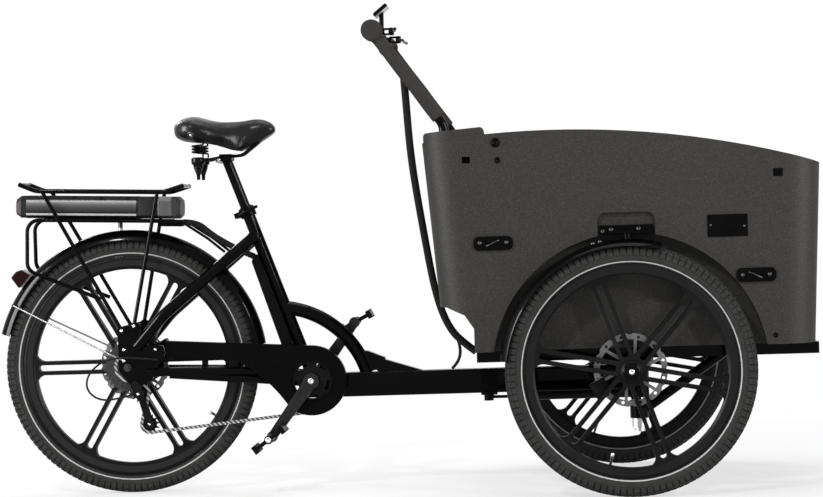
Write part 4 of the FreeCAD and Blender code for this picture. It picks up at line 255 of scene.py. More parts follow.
# Distances in metres over which the floor fades to white, and how white it is before that
FADE = (1.2, 2.6)
NEAR_WHITE = 0.66
floor_mesh = bmesh.new()
bmesh.ops.create_grid(floor_mesh, x_segments=1, y_segments=1, size=14)
floor_data = bpy.data.meshes.new("floor")
floor_mesh.to_mesh(floor_data)
floor_mesh.free()
floor = bpy.data.objects.new("floor", floor_data)
scene.collection.objects.link(floor)
floor_finish, floor_place = new_finish("floor_white", Roughness=0.9, Specular_IOR_Level=0.1)
tint(cloud(floor_place, 3.0), grey(0.86), grey(0.9)).feed("Base Color")
away = floor_place.node("ShaderNodeVectorMath", {"operation": "LENGTH"}, {0: floor_place}, output=1)
far = (between(away, *FADE) * (1 - NEAR_WHITE) + NEAR_WHITE) * looking_rays(floor_finish.node_tree)
white = away.node("ShaderNodeEmission", None, {"Color": (1, 1, 1, 1), "Strength": 1.0})
pale = Wire(floor_finish.node_tree, floor_finish.node_tree.nodes["Principled BSDF"].outputs[0])
sweep = away.node("ShaderNodeMixShader", None, {0: far, 1: pale, 2: white})
ending = floor_finish.node_tree.nodes["Material Output"]
floor_finish.node_tree.links.new(sweep.socket, ending.inputs["Surface"])
floor_data.materials.append(floor_finish)

middle = at(700, 0, 500)
# Name, place from the middle and size in metres, power in watts, and whether only shiny surfaces show it
LAMPS = (
    ("key", (-1.8, -3.6, 3.4), (0.34, 0.34), 105, False),
    ("fill", (3.0, -3.4, 1.6), (0.25, 0.6), 48, False),
    ("left_panel", (-3.6, -1.6, 0.9), (1.2, 2.4), 520, True),
    ("right_panel", (3.8, -2.0, 0.9), (0.9, 2.4), 300, True),
    ("top", (0.2, 0.6, 4.2), (3.0, 3.0), 120, False),
    ("rear", (-2.6, 3.4, 2.2), (1.0, 1.0), 60, False),
)
for name, offset, *settings in LAMPS:
    soft_lamp(name, middle + Vector(offset), middle, *settings)
print("studio ready with", len(LAMPS), "lamps")

# %% [markdown]
# ## Finishes of the frame
# The tubes are powder coated in gloss black: nearly black, with a clear lacquer that mirrors the
# room, the slight orange peel of sprayed powder, and a film of dust that dulls it here and there.

# %% Gloss black coat
def black_coat(name, level, rough, lacquer):
    """Sprayed black coat of a given darkness, roughness and lacquer."""
    made, place = new_finish(name, IOR=1.5, Specular_IOR_Level=0.02, Coat_Roughness=0.05, Coat_IOR=1.22)
    dust = between(cloud(place, 9.0, 5.0, 0.65), 0.42, 0.78)
    tint(dust, grey(level), grey(level * 1.8)).feed("Base Color")
    (dust * 0.12 + rough).feed("Roughness")
    (lacquer - dust * lacquer * 0.4).feed("Coat Weight")
    relief(cloud(place, 900.0, 1.0), 0.00004, 0.5).feed("Normal")
    return made


gloss_black = black_coat("gloss_black", 0.0012, 0.22, 0.34)
satin_black = black_coat("satin_black", 0.0022, 0.34, 0.06)
alloy_black = black_coat("alloy_black", 0.0070, 0.30, 0.20)
print("coats:", gloss_black.name, satin_black.name, alloy_black.name)

# %% [markdown]
# The box is rotationally moulded: black plastic powder with pale specks melts in a turning mould,
# which leaves a fine speckle and a leathery skin. Voronoi cells give the specks, because each cell
# has its own random value to choose a few of them by.

# %% Speckled moulded plastic
def speckled_plastic(name):
    """Dull black plastic with a few pale and a few dark specks."""
    made, place = new_finish(name, IOR=1.46, Specular_IOR_Level=0.10)
    cells = place.node("ShaderNodeTexVoronoi", None, {"Vector": place, "Scale": 640.0}, output=1)
    chance = cells.node("ShaderNodeSeparateColor", None, {"Color": cells})
    mottle = cloud(place, 5.0, 4.0)
    ground = tint(mottle, grey(0.031, 0.05), grey(0.037, 0.05))
    lit = tint(between(chance, 0.78, 0.98) * 0.55, ground, grey(0.080, 0.04))
    tint(between(chance, 0.24, 0.04) * 0.55, lit, grey(0.014)).feed("Base Color")
    (mottle * 0.12 + 0.5).feed("Roughness")
    grain = cloud(place, 330.0, 2.0) + cloud(place, 60.0, 2.0) * 0.6
    relief(grain, 0.0003, 0.5).feed("Normal")
    return made


box_plastic = speckled_plastic("speckled_plastic")
print("box plastic:", box_plastic.name)

# %% [markdown]
# Guards, caps and pedals are injection moulded. Their mould was etched, so the plastic is dull and
# finely grained, and a little greyer where hands and boots have rubbed it.

# %% Grained black plastic
def grained_plastic(name, level, rough):
    """Finely grained plastic of a given darkness and roughness, rubbed in places."""
    made, place = new_finish(name, IOR=1.47, Specular_IOR_Level=0.035)
    rub = between(cloud(place, 14.0, 5.0, 0.7), 0.45, 0.8)
    tint(rub, grey(level), grey(level * 1.8)).feed("Base Color")
    (rough - rub * 0.12).feed("Roughness")
    relief(cloud(place, 700.0, 2.0), 0.00015, 0.6).feed("Normal")
    return made


black_plastic = grained_plastic("grained_plastic", 0.0040, 0.38)
guard_plastic = grained_plastic("guard_plastic", 0.0022, 0.30)
print("plastics:", black_plastic.name, guard_plastic.name)

# %% [markdown]
# ## Finishes of the wheels
# The wheels are cast in one piece and coated in satin black, and the rim's turned flank is greyer.
# Tyre rubber is dull and dusty, with a thin white line round each wall and fine rings from the
# mould. All of these follow the distance from the axle: Object coordinates, less the wheel's centre.

# %% Cast alloy and rubber
def axle_distance(place, centre):
    """Distance in metres from a wheel's axle."""
    local = place.node("ShaderNodeVectorMath", {"operation": "SUBTRACT"}, {0: place, 1: centre})
    flat = local.node("ShaderNodeVectorMath", {"operation": "MULTIPLY"}, {0: local, 1: (1, 0, 1)})
    return flat.node("ShaderNodeVectorMath", {"operation": "LENGTH"}, {0: flat}, output=1)


def cast_alloy(name, centre, band, level):
    """Satin coat over a cast wheel, greyer on one band of its rim."""
    made, place = new_finish(name, IOR=1.5, Specular_IOR_Level=0.06)
    sand = cloud(place, 420.0, 3.0)
    dust = between(cloud(place, 7.0, 5.0, 0.7), 0.4, 0.75)
    radius = axle_distance(place, centre)
    flank = between(radius, band[0] - 0.002, band[0]) * between(radius, band[1], band[1] - 0.002)
    tint(flank, tint(dust, grey(0.005), grey(0.011)), grey(level)).feed("Base Color")
    (0.34 + dust * 0.16 + sand * 0.05).feed("Roughness")
    relief(sand, 0.00012, 0.5).feed("Normal")
    return made


def tyre_rubber(name, centre, line):
    """Dusty rubber with mould rings and one white line at a distance from the axle."""
    made, place = new_finish(name, IOR=1.5, Specular_IOR_Level=0.08)
    radius = axle_distance(place, centre)
    rings = radius.node("ShaderNodeMath", {"operation": "SINE"}, {0: radius * 2600.0})
    dust = between(cloud(place, 26.0, 6.0, 0.7), 0.35, 0.8)
    shade = tint(dust, grey(0.026, 0.03), grey(0.046, 0.03))
    off_line = radius.node("ShaderNodeMath", {"operation": "ABSOLUTE"}, {0: radius - line})
    white = between(off_line, 0.0016, 0.0012)
    tint(white, shade, grey(0.58)).feed("Base Color")
    (0.74 + dust * 0.16 - white * 0.3).feed("Roughness")
    relief(rings * 0.3 + cloud(place, 800.0, 2.0), 0.00018, 0.7).feed("Normal")
    return made


# Body, centre, radii of the tyre, its white line and the rim's greyer band in millimetres, and that band's grey
Wheel = namedtuple("Wheel", "body centre radius line band level")
WHEELS = {
    "rear": Wheel("rear_wheel", at(0, 0, 330), 330.0, 294.0, (262, 277), 0.022),
    "front_right": Wheel("front_wheel_right", at(1280, -400, 306), 306.0, 265.5, (240, 256), 0.012),
    "front_left": Wheel("front_wheel_left", at(1280, 400, 306), 306.0, 265.5, (240, 256), 0.012),
}
rubber = {}
for key, wheel in WHEELS.items():
    rubber[key] = tyre_rubber("tyre_rubber_" + key, wheel.centre, wheel.line / 1000)
    band = [reach / 1000 for reach in wheel.band]
    nodes[wheel.body].data.materials.clear()
    nodes[wheel.body].data.materials.append(cast_alloy("cast_alloy_" + key, wheel.centre, band, wheel.level))
print("wheel finishes for", list(rubber))

# %% [markdown]
# ## Bare metals
# Discs, chain and screws are steel, and the cranks are dark alloy. Brushing shows as fine streaks:
# noise that is stretched along one direction. The wire stays share a node with a black post, which
# a mask by height picks out. The chain's inner and outer plates differ, so it is banded at its pitch.

# %% Steel and alloy
def brushed_metal(name, level, rough, stretch, metallic=1.0):
    """Streaked and slightly stained metal of a given grey and roughness."""
    made, place = new_finish(name)
    streaks = cloud(place, 60.0, 4.0, 0.6, stretch)
    stain = between(cloud(place, 30.0, 4.0), 0.4, 0.8)
    tint(streaks, grey(level * 0.8), grey(level * 1.1)).feed("Base Color")
    (rough + streaks * 0.14 + stain * 0.12).feed("Roughness")
    (metallic - stain * 0.12).feed("Metallic")
    relief(streaks, 0.00006, 0.5).feed("Normal")
    return made


bright_steel = brushed_metal("bright_steel", 0.17, 0.26, (8, 1, 8))
dark_steel = brushed_metal("dark_steel", 0.045, 0.30, (4, 4, 4))
zinc_steel = brushed_metal("zinc_steel", 0.50, 0.26, (3, 3, 3))
crank_alloy = brushed_metal("crank_alloy", 0.022, 0.22, (3, 3, 3), 0.9)

POST_FOOT = 0.69
stay_steel, stay_place = new_finish("stay_steel")
scuffs = cloud(stay_place, 120.0, 4.0)
post = along(stay_place, 2) > POST_FOOT
tint(post, tint(scuffs, grey(0.20), grey(0.30)), grey(0.003)).feed("Base Color")
(1 - post).feed("Metallic")
(0.32 + scuffs * 0.15).feed("Roughness")

LINK_BEAT = 495.0
chain_steel, chain_place = new_finish("chain_steel", Metallic=1.0)
grime = cloud(chain_place, 90.0, 3.0)
diagonal = along(chain_place, 0) + along(chain_place, 2)
beat = diagonal.node("ShaderNodeMath", {"operation": "SINE"}, {0: diagonal * LINK_BEAT})
tint(between(beat, -0.4, 0.4), grey(0.06), grey(0.42)).feed("Base Color")
(0.24 + grime * 0.2).feed("Roughness")
metals = (bright_steel, dark_steel, zinc_steel, crank_alloy, stay_steel, chain_steel)
print("metals:", [metal.name for metal in metals])

# %% [markdown]
# The battery's case is drawn aluminium with a bright trim along its lower edge, and its ends are
# moulded caps with a metal panel in the front one. Above the trim the side is darker towards the
# bottom and rises to a painted highlight just under the roof, and the roof carries painted shade. The
# bands follow the case's own tilt, so its height is worked out from both the forward and the upright
# coordinate.

# %% Battery case and caps
TILT = math.radians(2.2)
RACK_X, RACK_Z = -60, 785.5
CASE_LOW, CASE_TOP = -70, -11
case_alloy, case_place = new_finish("case_alloy", Metallic=0.55, Specular_IOR_Level=0.1)
forward = along(case_place, 0) - (REAR_X + RACK_X / 1000)
height = forward * math.sin(TILT) + (along(case_place, 2) - RACK_Z / 1000) * math.cos(TILT)
share = between(height, CASE_LOW / 1000, CASE_TOP / 1000)
# Share of the case's height, and the grey there: the bright trim low down, then a side that is
# darker towards the bottom and rises to a painted highlight under the roof, and painted shade on the roof
CASE_TRIM_AND_LIGHT_STOPS = ((0.0, 0.004), (0.13, 0.004), (0.14, 0.42), (0.225, 0.42), (0.235, 0.006), (0.26, 0.012),
              (0.50, 0.055), (0.80, 0.20), (0.82, 0.012), (1.0, 0.006))
trim_and_painted_light = share.node("ShaderNodeValToRGB", {"stops": [(s, grey(v)) for s, v in CASE_TRIM_AND_LIGHT_STOPS]}, {0: share})
streaks = cloud(case_place, 60.0, 4.0, 0.6, (0.5, 30, 30))
tint(streaks * 0.4, trim_and_painted_light, grey(0.02)).feed("Base Color")
(0.34 + streaks * 0.16).feed("Roughness")
relief(streaks, 0.00005, 0.4).feed("Normal")

# Metres ahead of the rear axle: both edges of the front cap's metal panel, and the rear lens
PANEL_REAR, PANEL_FRONT, LENS_FRONT = 0.086, 0.123, -0.277
LENS_COLOUR = (0.060, 0.004, 0.006)
cap_plastic, cap_place = new_finish("cap_plastic", Specular_IOR_Level=0.12)
forward = along(cap_place, 0) - REAR_X
grain = cloud(cap_place, 500.0, 2.0)
panel = (forward > PANEL_REAR) * (forward < PANEL_FRONT)
plain = tint(forward > PANEL_FRONT, grey(0.007), grey(0.035))
panelled = tint(panel, plain, tint(grain, grey(0.07), grey(0.14)))
tint(forward < LENS_FRONT, panelled, LENS_COLOUR).feed("Base Color")
(panel * 0.9).feed("Metallic")
(0.44 - panel * 0.12 + grain * 0.08).feed("Roughness")
relief(grain, 0.0002, 0.5).feed("Normal")
print("battery:", case_alloy.name, cap_plastic.name)

# %% [markdown]
# ## Soft skins
# Saddle leather has a pebbled grain of small rounded cells, so its height comes from Voronoi edges.
# Bar foam is dull and full of tiny open cells. Cable jackets are dull rubber, so the foam's network
# serves them too. The spring boots are shiny rubber, close to the black coat.

# %% Leather, foam and cable rubber
def pebbled_leather(name):
    """Lacquered black leather with a pebbled grain, worn in places."""
    lacquer = {"Coat_Weight": 0.28, "Coat_Roughness": 0.24, "Coat_IOR": 1.36}
    made, place = new_finish(name, Specular_IOR_Level=0.05, **lacquer)
    settings = {"feature": "DISTANCE_TO_EDGE"}
    pebbles = place.node("ShaderNodeTexVoronoi", settings, {"Vector": place, "Scale": 620.0})
    wear = between(cloud(place, 22.0, 4.0), 0.45, 0.8)
    tint(wear, grey(0.004), grey(0.010)).feed("Base Color")
    (0.36 - wear * 0.08).feed("Roughness")
    relief(between(pebbles, 0.0, 0.18) + cloud(place, 40.0) * 0.4, 0.00030, 0.5).feed("Normal")
    return made


def cell_foam(name, level, warmth):
    """Dull foam of a given grey and warmth, pitted with small cells."""
    made, place = new_finish(name, IOR=1.45, Specular_IOR_Level=0.08)
    cells = place.node("ShaderNodeTexVoronoi", None, {"Vector": place, "Scale": 900.0})
    shade = cloud(place, 40.0, 4.0)
    tint(shade, grey(level * 0.8, warmth), grey(level * 1.3, warmth)).feed("Base Color")
    (0.82 + shade * 0.12).feed("Roughness")
    relief(cells + shade, 0.0003, 0.6).feed("Normal")
    return made


saddle_leather = pebbled_leather("pebbled_leather")
bar_foam = cell_foam("bar_foam", 0.035, 0.05)
jacket_rubber = cell_foam("jacket_rubber", 0.014, 0.02)
boot_rubber = black_coat("boot_rubber", 0.0030, 0.30, 0.45)

lens_red, lens_place = new_finish("lens_red", Roughness=0.12, IOR=1.5, Specular_IOR_Level=0.1)
facets = lens_place.node("ShaderNodeTexVoronoi", None, {"Vector": lens_place, "Scale": 260.0})
tint(facets, (0.010, 0.002, 0.002), (0.022, 0.003, 0.003)).feed("Base Color")
relief(facets, 0.0006, 0.6).feed("Normal")
screen_glass, screen_place = new_finish("screen_glass", IOR=1.52, Coat_Weight=0.8)
smear = cloud(screen_place, 50.0, 5.0)
tint(smear, grey(0.006), grey(0.012)).feed("Base Color")
(0.06 + smear * 0.12).feed("Roughness")
print("soft finishes:", saddle_leather.name, bar_foam.name, jacket_rubber.name, boot_rubber.name)

# %% [markdown]
# ## Finishes on the solid nodes
# A node whose shape is already right only needs its finish. The table lists them by finish.

# %% Give each node its finish
NODE_FINISHES = {
    gloss_black: ("main_tube", "seat_tube", "curved_tube", "rear_stays", "frame_lugs", "front_frame", "seatpost",
                  "handlebar", "rear_rack", "rack_legs", "rear_mudguard", "front_fenders"),
    satin_black: ("battery_dock", "saddle_frame", "fender_brackets", "damper_rod", "seat_collar",
                  "seat_clamp_lever", "bar_controls", "box_fittings", "saddle_springs"),
    alloy_black: ("chainring", "derailleur", "rear_caliper", "front_calipers", "brake_lever_right",
                  "brake_lever_left", "damper_body"),
    box_plastic: ("cargo_box",),
    black_plastic: ("pedal_right", "pedal_left", "guide_pulley", "tension_pulley", "controller_case"),
    guard_plastic: ("chain_guard",),
    bright_steel: ("rear_rotor", "front_rotor_right", "front_rotor_left"),
    chain_steel: ("chain",),
    dark_steel: ("cassette", "rear_axle"),
    zinc_steel: ("crank_spindle", "kingpin", "frame_bearings"),
    crank_alloy: ("crank_arms",),
    stay_steel: ("mudguard_stays",),
    case_alloy: ("battery_case",),
    cap_plastic: ("battery_ends",),
    saddle_leather: ("saddle_cover",),
    bar_foam: ("handlebar_cover",),
    boot_rubber: ("spring_boots",),
    jacket_rubber: ("frame_cables", "steering_cables"),
    lens_red: ("tail_light",),
}
for finish, names in NODE_FINISHES.items():
    for name in names:
        nodes[name].data.materials.clear()
        nodes[name].data.materials.append(finish)
dressed = sum(len(names) for names in NODE_FINISHES.values()) + len(WHEELS)
print(dressed, "of", len(nodes), "nodes have a finish, and the tyres follow")

# %% [markdown]
# ## Building pieces
# A new piece is drawn in one bmesh, turned into an object at the origin with its place in its mesh,
# given its finish, and tied to the body that it moves with.

# %% Helpers for pieces
def add_piece(name, mesh, finish, body, smooth=True):
    """An object from a bmesh, with its normals outward, riding on a body."""
    bmesh.ops.recalc_face_normals(mesh, faces=mesh.faces)
    data = bpy.data.meshes.new(name)
    mesh.to_mesh(data)
    mesh.free()
    shade_faces(data, smooth)
    data.materials.append(finish)
    piece = bpy.data.objects.new(name, data)
    scene.collection.objects.link(piece)
    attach(piece, body)
    return piece


def shade_faces(data, smooth):
    """Shade every face of a mesh smooth or flat."""
    for polygon in data.polygons:
        polygon.use_smooth = smooth


def crease(piece, degrees):
    """Keep the edges sharp that turn by more than an angle."""
    piece.data.set_sharp_from_angle(angle=math.radians(degrees))


def merge(mesh, distance=1e-6):
    """Join points that lie on each other."""
    bmesh.ops.remove_doubles(mesh, verts=mesh.verts, dist=distance)


def spun(mesh, outline, centre, axis, steps):
    """Turn (along the axis, from the axis) points in millimetres once round an axis."""
    axis = Vector(axis).normalized()
    side = axis.orthogonal().normalized()
    ring = [mesh.verts.new(centre + axis * (a / 1000) + side * (r / 1000)) for a, r in outline]
    edges = [mesh.edges.new(pair) for pair in zip(ring, ring[1:])]
    bmesh.ops.spin(mesh, geom=ring + edges, cent=centre, axis=axis, dvec=(0, 0, 0), angle=2 * math.pi,
                   steps=steps, use_merge=True)


def skin(mesh, rings):
    """A closed skin over rings of as many points each, with both ends filled."""
    loops = [[mesh.verts.new(point) for point in ring] for ring in rings]
    for first, second in zip(loops, loops[1:]):
        for k in range(len(first)):
            mesh.faces.new((first[k - 1], first[k], second[k], second[k - 1]))
    mesh.faces.new(loops[0])
    mesh.faces.new(loops[-1])


def brick(mesh, centre, onward, across, up, size):
    """A six-sided block with its own three directions and sizes in millimetres."""
    axes = Matrix((onward, across, up)).transposed().to_4x4()
    scale = Matrix.Diagonal((size[0] / 1000, size[1] / 1000, size[2] / 1000, 1))
    return bmesh.ops.create_cube(mesh, size=1, matrix=Matrix.Translation(centre) @ axes @ scale)["verts"]


# %% [markdown]
# ## Tyres
# A tyre is a round carcass with rubber blocks moulded on it: a row on each wall, a row along each
# shoulder, and two staggered rows on the crown. The blocks end at the tyre's real radius and width,
# so the carcass between them lies deeper.

# %% Tyres
TREAD_PITCH = 16.4
CARCASS_STEPS = 144
for key, wheel in WHEELS.items():
    radius = wheel.radius
    mesh = bmesh.new()
    half = [(13.2, radius - 43.8), (19, radius - 39), (23.5, radius - 32), (24.6, radius - 25),
            (23.2, radius - 16), (19.5, radius - 9.5), (12, radius - 6), (0, radius - 5)]
    outline = half + [(-a, r) for a, r in reversed(half[:-1])]
    spun(mesh, outline, wheel.centre, (0, 1, 0), CARCASS_STEPS)
    merge(mesh)
    smooth_count = len(mesh.faces)
    count = round(2 * math.pi * (radius - 12) / TREAD_PITCH)
    # Offset to the side, distance from the axle, lean, and the block's three sizes
    rows = ((24.6, radius - 19.0, 1.50, 12.0, 11.0, 4.4), (21.3, radius - 9.8, 0.80, 12.5, 10.0, 5.5),
            (8.5, radius - 3.1, 0.14, 13.0, 12.5, 4.6))
    for k in range(count):
        for side in (-1, 1):
            for row, (offset, reach, lean, *size) in enumerate(rows):
                stagger = 0.5 if (row + side) % 4 == 1 else 0
                angle = 2 * math.pi * (k + stagger) / count
                out = Vector((math.cos(angle), 0, math.sin(angle)))
                onward = Vector((-math.sin(angle), 0, math.cos(angle)))
                up = out * math.cos(lean) + Vector((0, side * math.sin(lean), 0))
                place = wheel.centre + out * (reach / 1000) + Vector((0, side * offset / 1000, 0))
                brick(mesh, place, onward, up.cross(onward), up, size)
    tyre = add_piece("tyre_" + key, mesh, rubber[key], wheel.body, smooth=False)
    for polygon in tyre.data.polygons[:smooth_count]:
        polygon.use_smooth = True
    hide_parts(wheel.body.replace("wheel", "tyre"))
    print(tyre.name, "has", 6 * count, "tread blocks and", len(tyre.data.polygons), "faces")

# %% [markdown]
# ## Small turned parts
# Screw heads, valve stems and hub caps are all turned, so one list of outlines serves them: each is
# a row of (along the axis, from the axis) points in millimetres. A screw's dished socket catches a
# small glint, which is how one sees it at all on black plastic.

# %% Screws, valves and caps
def head(radius, height):
    """A domed screw head with a dished socket, which stands on its surface."""
    return ((-0.5, 0), (-0.5, radius), (height * 0.55, radius), (height * 0.9, radius * 0.8),
            (height, radius * 0.55), (height * 0.5, radius * 0.42), (height * 0.45, 0))


def valve(length):
    """A valve stem and its cap, from the rim inwards."""
    return ((-4, 0), (-4, 3.2), (length - 11, 3.2), (length - 11, 4.2), (length - 1.5, 4.0), (length, 3.0),
            (length, 0))


HUB_CAP = ((-0.5, 0), (-0.5, 22), (1.5, 22), (3.6, 18.5), (5.2, 9.5), (5.6, 0))
RAIL_CLAMP = ((0, 0), (0, 8), (1, 9.5), (11, 9.5), (12.5, 8), (12.5, 5), (16, 4.4), (16, 0))
TIE_SCREW = head(4.6, 2.6)
BRACKET_SCREW = head(5.2, 3.5)
GUARD_BOLT = head(5.5, 6)
DROPOUT_BOLT = head(3.6, 3)
TURNED_STEPS = 18
RIGHT, LEFT = (0, -1, 0), (0, 1, 0)
# Place, axis and outline of each part. Those of the front carriage are given for the right side and are on
# the left as well, but for the bare plate's two screws.
TURNED = {
    ("box_bolts", "front_carriage", satin_black): [
        ((967.6, -385, 870), RIGHT, head(11.5, 6)), ((971.6, -385, 826.9), RIGHT, head(7.2, 5)),
        ((1632, -385, 382), RIGHT, head(6, 4))],
    ("fitting_screws", "front_carriage", dark_steel): [
        ((922.5, -390.2, 627), RIGHT, TIE_SCREW), ((987.5, -390.2, 627), RIGHT, TIE_SCREW),
        ((1556, -390.2, 530), RIGHT, TIE_SCREW), ((1621, -390.2, 530), RIGHT, TIE_SCREW),
        ((1242, -379.2, 649.5), RIGHT, BRACKET_SCREW), ((1308.6, -379.2, 650), RIGHT, BRACKET_SCREW),
        ((1221, -379.2, 645.5), RIGHT, BRACKET_SCREW),
        ((1196.6, -412, 614.7), (-0.26, 0, 0.965), GUARD_BOLT),
        ((1214, -398, 618.9), (-0.206, 0, 0.978), GUARD_BOLT)],
    ("dropout_bolts", "rear_frame", zinc_steel): [
        ((-12, -89.2, 426), RIGHT, head(4.2, 3)), ((20, -89.2, 437), RIGHT, head(4.2, 3)),
        ((-9.2, -78, 376), RIGHT, DROPOUT_BOLT), ((72, -78, 375), RIGHT, DROPOUT_BOLT),
        ((-10, -82.9, 348), RIGHT, head(4.4, 3)), ((26, -92.2, 262), RIGHT, DROPOUT_BOLT),
        ((48, -62, 181), RIGHT, head(3.4, 3))],
    ("guard_screws", "rear_frame", dark_steel): [
        ((-301.5, -30, 497.1), RIGHT, head(5, 8)), ((-301.5, 30, 497.1), LEFT, head(5, 8))],
    ("plate_screws", "front_carriage", dark_steel): [
        ((1483, -387.2, 653), RIGHT, head(2.8, 1.6)), ((1564, -387.2, 648.5), RIGHT, head(2.8, 1.6))],
    ("rail_clamps", "saddle", zinc_steel): [
        ((246, -16, 858), RIGHT, RAIL_CLAMP), ((246, 16, 858), LEFT, RAIL_CLAMP)],
    ("crank_bolts", "crank", zinc_steel): [
        ((472, -85, 282), RIGHT, head(8, 4)), ((472, 85, 282), LEFT, head(8, 4))],
    ("pedal_cap_right", "pedal_right", zinc_steel): [((367.2, -177, 141.9), RIGHT, head(7.5, 3))],
    ("pedal_cap_left", "pedal_left", zinc_steel): [((576.8, 177, 422.1), LEFT, head(7.5, 3))],
    ("hub_cap_right", "front_wheel_right", gloss_black): [((1280, -433, 306), RIGHT, HUB_CAP)],
    ("hub_cap_left", "front_wheel_left", gloss_black): [((1280, 433, 306), LEFT, HUB_CAP)],
    ("hub_nut_right", "front_wheel_right", zinc_steel): [((1280, -438.4, 306), RIGHT, head(7, 4.5))],
    ("hub_nut_left", "front_wheel_left", zinc_steel): [((1280, 438.4, 306), LEFT, head(7, 4.5))],
}
# Inner radius of the rim, angle round the wheel, and length of each valve
VALVES = {"rear": (252, -32.5, 20), "front_right": (234, -104.3, 30), "front_left": (234, -109.5, 30)}
for key, (inner, angle, length) in VALVES.items():
    wheel = WHEELS[key]
    out = Vector((math.cos(math.radians(angle)), 0, math.sin(math.radians(angle))))
    place = (wheel.centre + out * (inner / 1000) - at(0, 0, 0)) * 1000
    TURNED["valve_" + key, wheel.body, zinc_steel] = [(tuple(place), tuple(-out), valve(length))]
for (name, body, finish), parts in TURNED.items():
    mesh = bmesh.new()
    for place, axis, outline in parts:
        spun(mesh, outline, at(*place), axis, TURNED_STEPS)
        if body == "front_carriage" and name != "plate_screws":
            x, y, z = place
            spun(mesh, outline, at(x, -y, z), (axis[0], -axis[1], axis[2]), TURNED_STEPS)
    merge(mesh)
    piece = add_piece(name, mesh, finish, body)
    print(name, "has", len(piece.data.polygons), "faces")

# %% [markdown]
# ## Mudguards
# A guard is a pressed half pipe whose skirts come down beside the tyre, so no daylight shows
# between them. Its section is one arc and the same arc a sheet's thickness inside it.

# %% Mudguards
SHEET = 2.2
GUARD_STEPS = 72


def guard_shell(mesh, centre, reach, half, droop, first, last):
    """A half pipe over a wheel, from one angle to another. Lengths are in millimetres, angles in degrees."""
    bow = (half ** 2 + droop ** 2) / (2 * droop)
    spread = math.asin(half / bow)
    leans = [spread * (k / 6 - 1) for k in range(13)]
    section = [(reach - bow + bow * math.cos(a), bow * math.sin(a)) for a in leans]
    section += [(reach - bow + (bow - SHEET) * math.cos(a), (bow - SHEET) * math.sin(a)) for a in reversed(leans)]
    rings = []
    for k in range(GUARD_STEPS + 1):
        angle = math.radians(first + (last - first) * k / GUARD_STEPS)
        out = Vector((math.cos(angle), 0, math.sin(angle)))
        rings.append([centre + out * (r / 1000) + Vector((0, y / 1000, 0)) for r, y in section])
    skin(mesh, rings)


# Radius, half width, depth of the skirts, and the first and last angle
REAR_GUARD = (354, 33, 27, 8, 164.6)
FRONT_GUARD = (320, 33, 17, 75, 174)
GUARDS = {
    "mudguard_shell": ("rear_frame", "rear_mudguard", REAR_GUARD, ("rear",)),
    "fender_shells": ("front_carriage", "front_fenders", FRONT_GUARD, ("front_right", "front_left")),
}
for name, (body, node, sizes, keys) in GUARDS.items():
    mesh = bmesh.new()
    for key in keys:
        guard_shell(mesh, WHEELS[key].centre, *sizes)
    guard = add_piece(name, mesh, gloss_black, body)
    crease(guard, 40)
    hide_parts(node)
    print(name, "has", len(guard.data.polygons), "faces")

# %% [markdown]
# ## Curved tube
# The step-through tube is one even bend from the seat tube down to the main tube. It is a circle
# carried round an arc, and a small plate closes the corner in front of its foot.

# %% Curved tube
BEND_R, TUBE_R = 246.0, 18.0
BEND_X, BEND_Z = 376.0, 224.7
BEND_TOP, BEND_FOOT = 84.3, 16.5
BEND_STEPS, TUBE_SIDES = 28, 28
rings = []
for k in range(BEND_STEPS + 1):
    angle = math.radians(BEND_TOP - (BEND_TOP - BEND_FOOT) * k / BEND_STEPS)
    ring = []
    for j in range(TUBE_SIDES):
        around = 2 * math.pi * j / TUBE_SIDES
        reach = BEND_R + TUBE_R * math.cos(around)
        x, z = BEND_X + reach * math.cos(angle), BEND_Z + reach * math.sin(angle)
        ring.append(at(x, TUBE_R * math.sin(around), z))
    rings.append(ring)
mesh = bmesh.new()
skin(mesh, rings)
CORNER = ((604, 301), (604, 352), (616, 351), (660, 333), (660, 301))
CORNER_HALF = 13.6
skin(mesh, [[at(x, y, z) for x, z in CORNER] for y in (-CORNER_HALF, CORNER_HALF)])
bend = add_piece("curved_tube_bend", mesh, gloss_black, "rear_frame")
crease(bend, 40)
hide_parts("curved_tube")
print("curved tube has", len(bend.data.polygons), "faces")

# %% [markdown]
# ## Battery
# The case is one drawn section: a flat floor, a bright lip along each lower edge, a groove above it,
# a slightly bowed side and a bevelled roof. Its ends are moulded: a long front cap in three parts
# and a short rear cap with cut corners. All are drawn in the rack's own tilted frame.

# %% Battery case and caps as pieces
def on_battery(u, y, w):
    """A point along the battery, across it, and up from the rack's rails."""
    x = RACK_X + u * math.cos(TILT) + w * math.sin(TILT)
    return at(x, y, RACK_Z - u * math.sin(TILT) + w * math.cos(TILT))


def battery_ring(u, half, inset=0.0):
    """The section at one place, from half of its outline, drawn in by an inset."""
    half_way = (CASE_LOW + CASE_TOP) / 2
    loop = [(y - inset, w + math.copysign(inset, half_way - w)) for y, w in half]
    loop += [(-y, w) for y, w in reversed(loop)]
    return [on_battery(u, y, w) for y, w in loop]


# Distance to the side and height of the points of half a section, from floor to roof
CASE_HALF = ((8, -70), (45, -70), (54, -63.5), (55, -62), (55, -57), (53.2, -56), (53.2, -54.8), (54.8, -54),
             (55, -46), (54.6, -34), (53.4, -25), (51.5, -22), (43, -12), (8, -11))
CAP_HALF = ((8, -69), (44, -69), (53, -61), (53, -40), (53, -24), (51, -21.5), (43, -12.5), (8, -11.5))
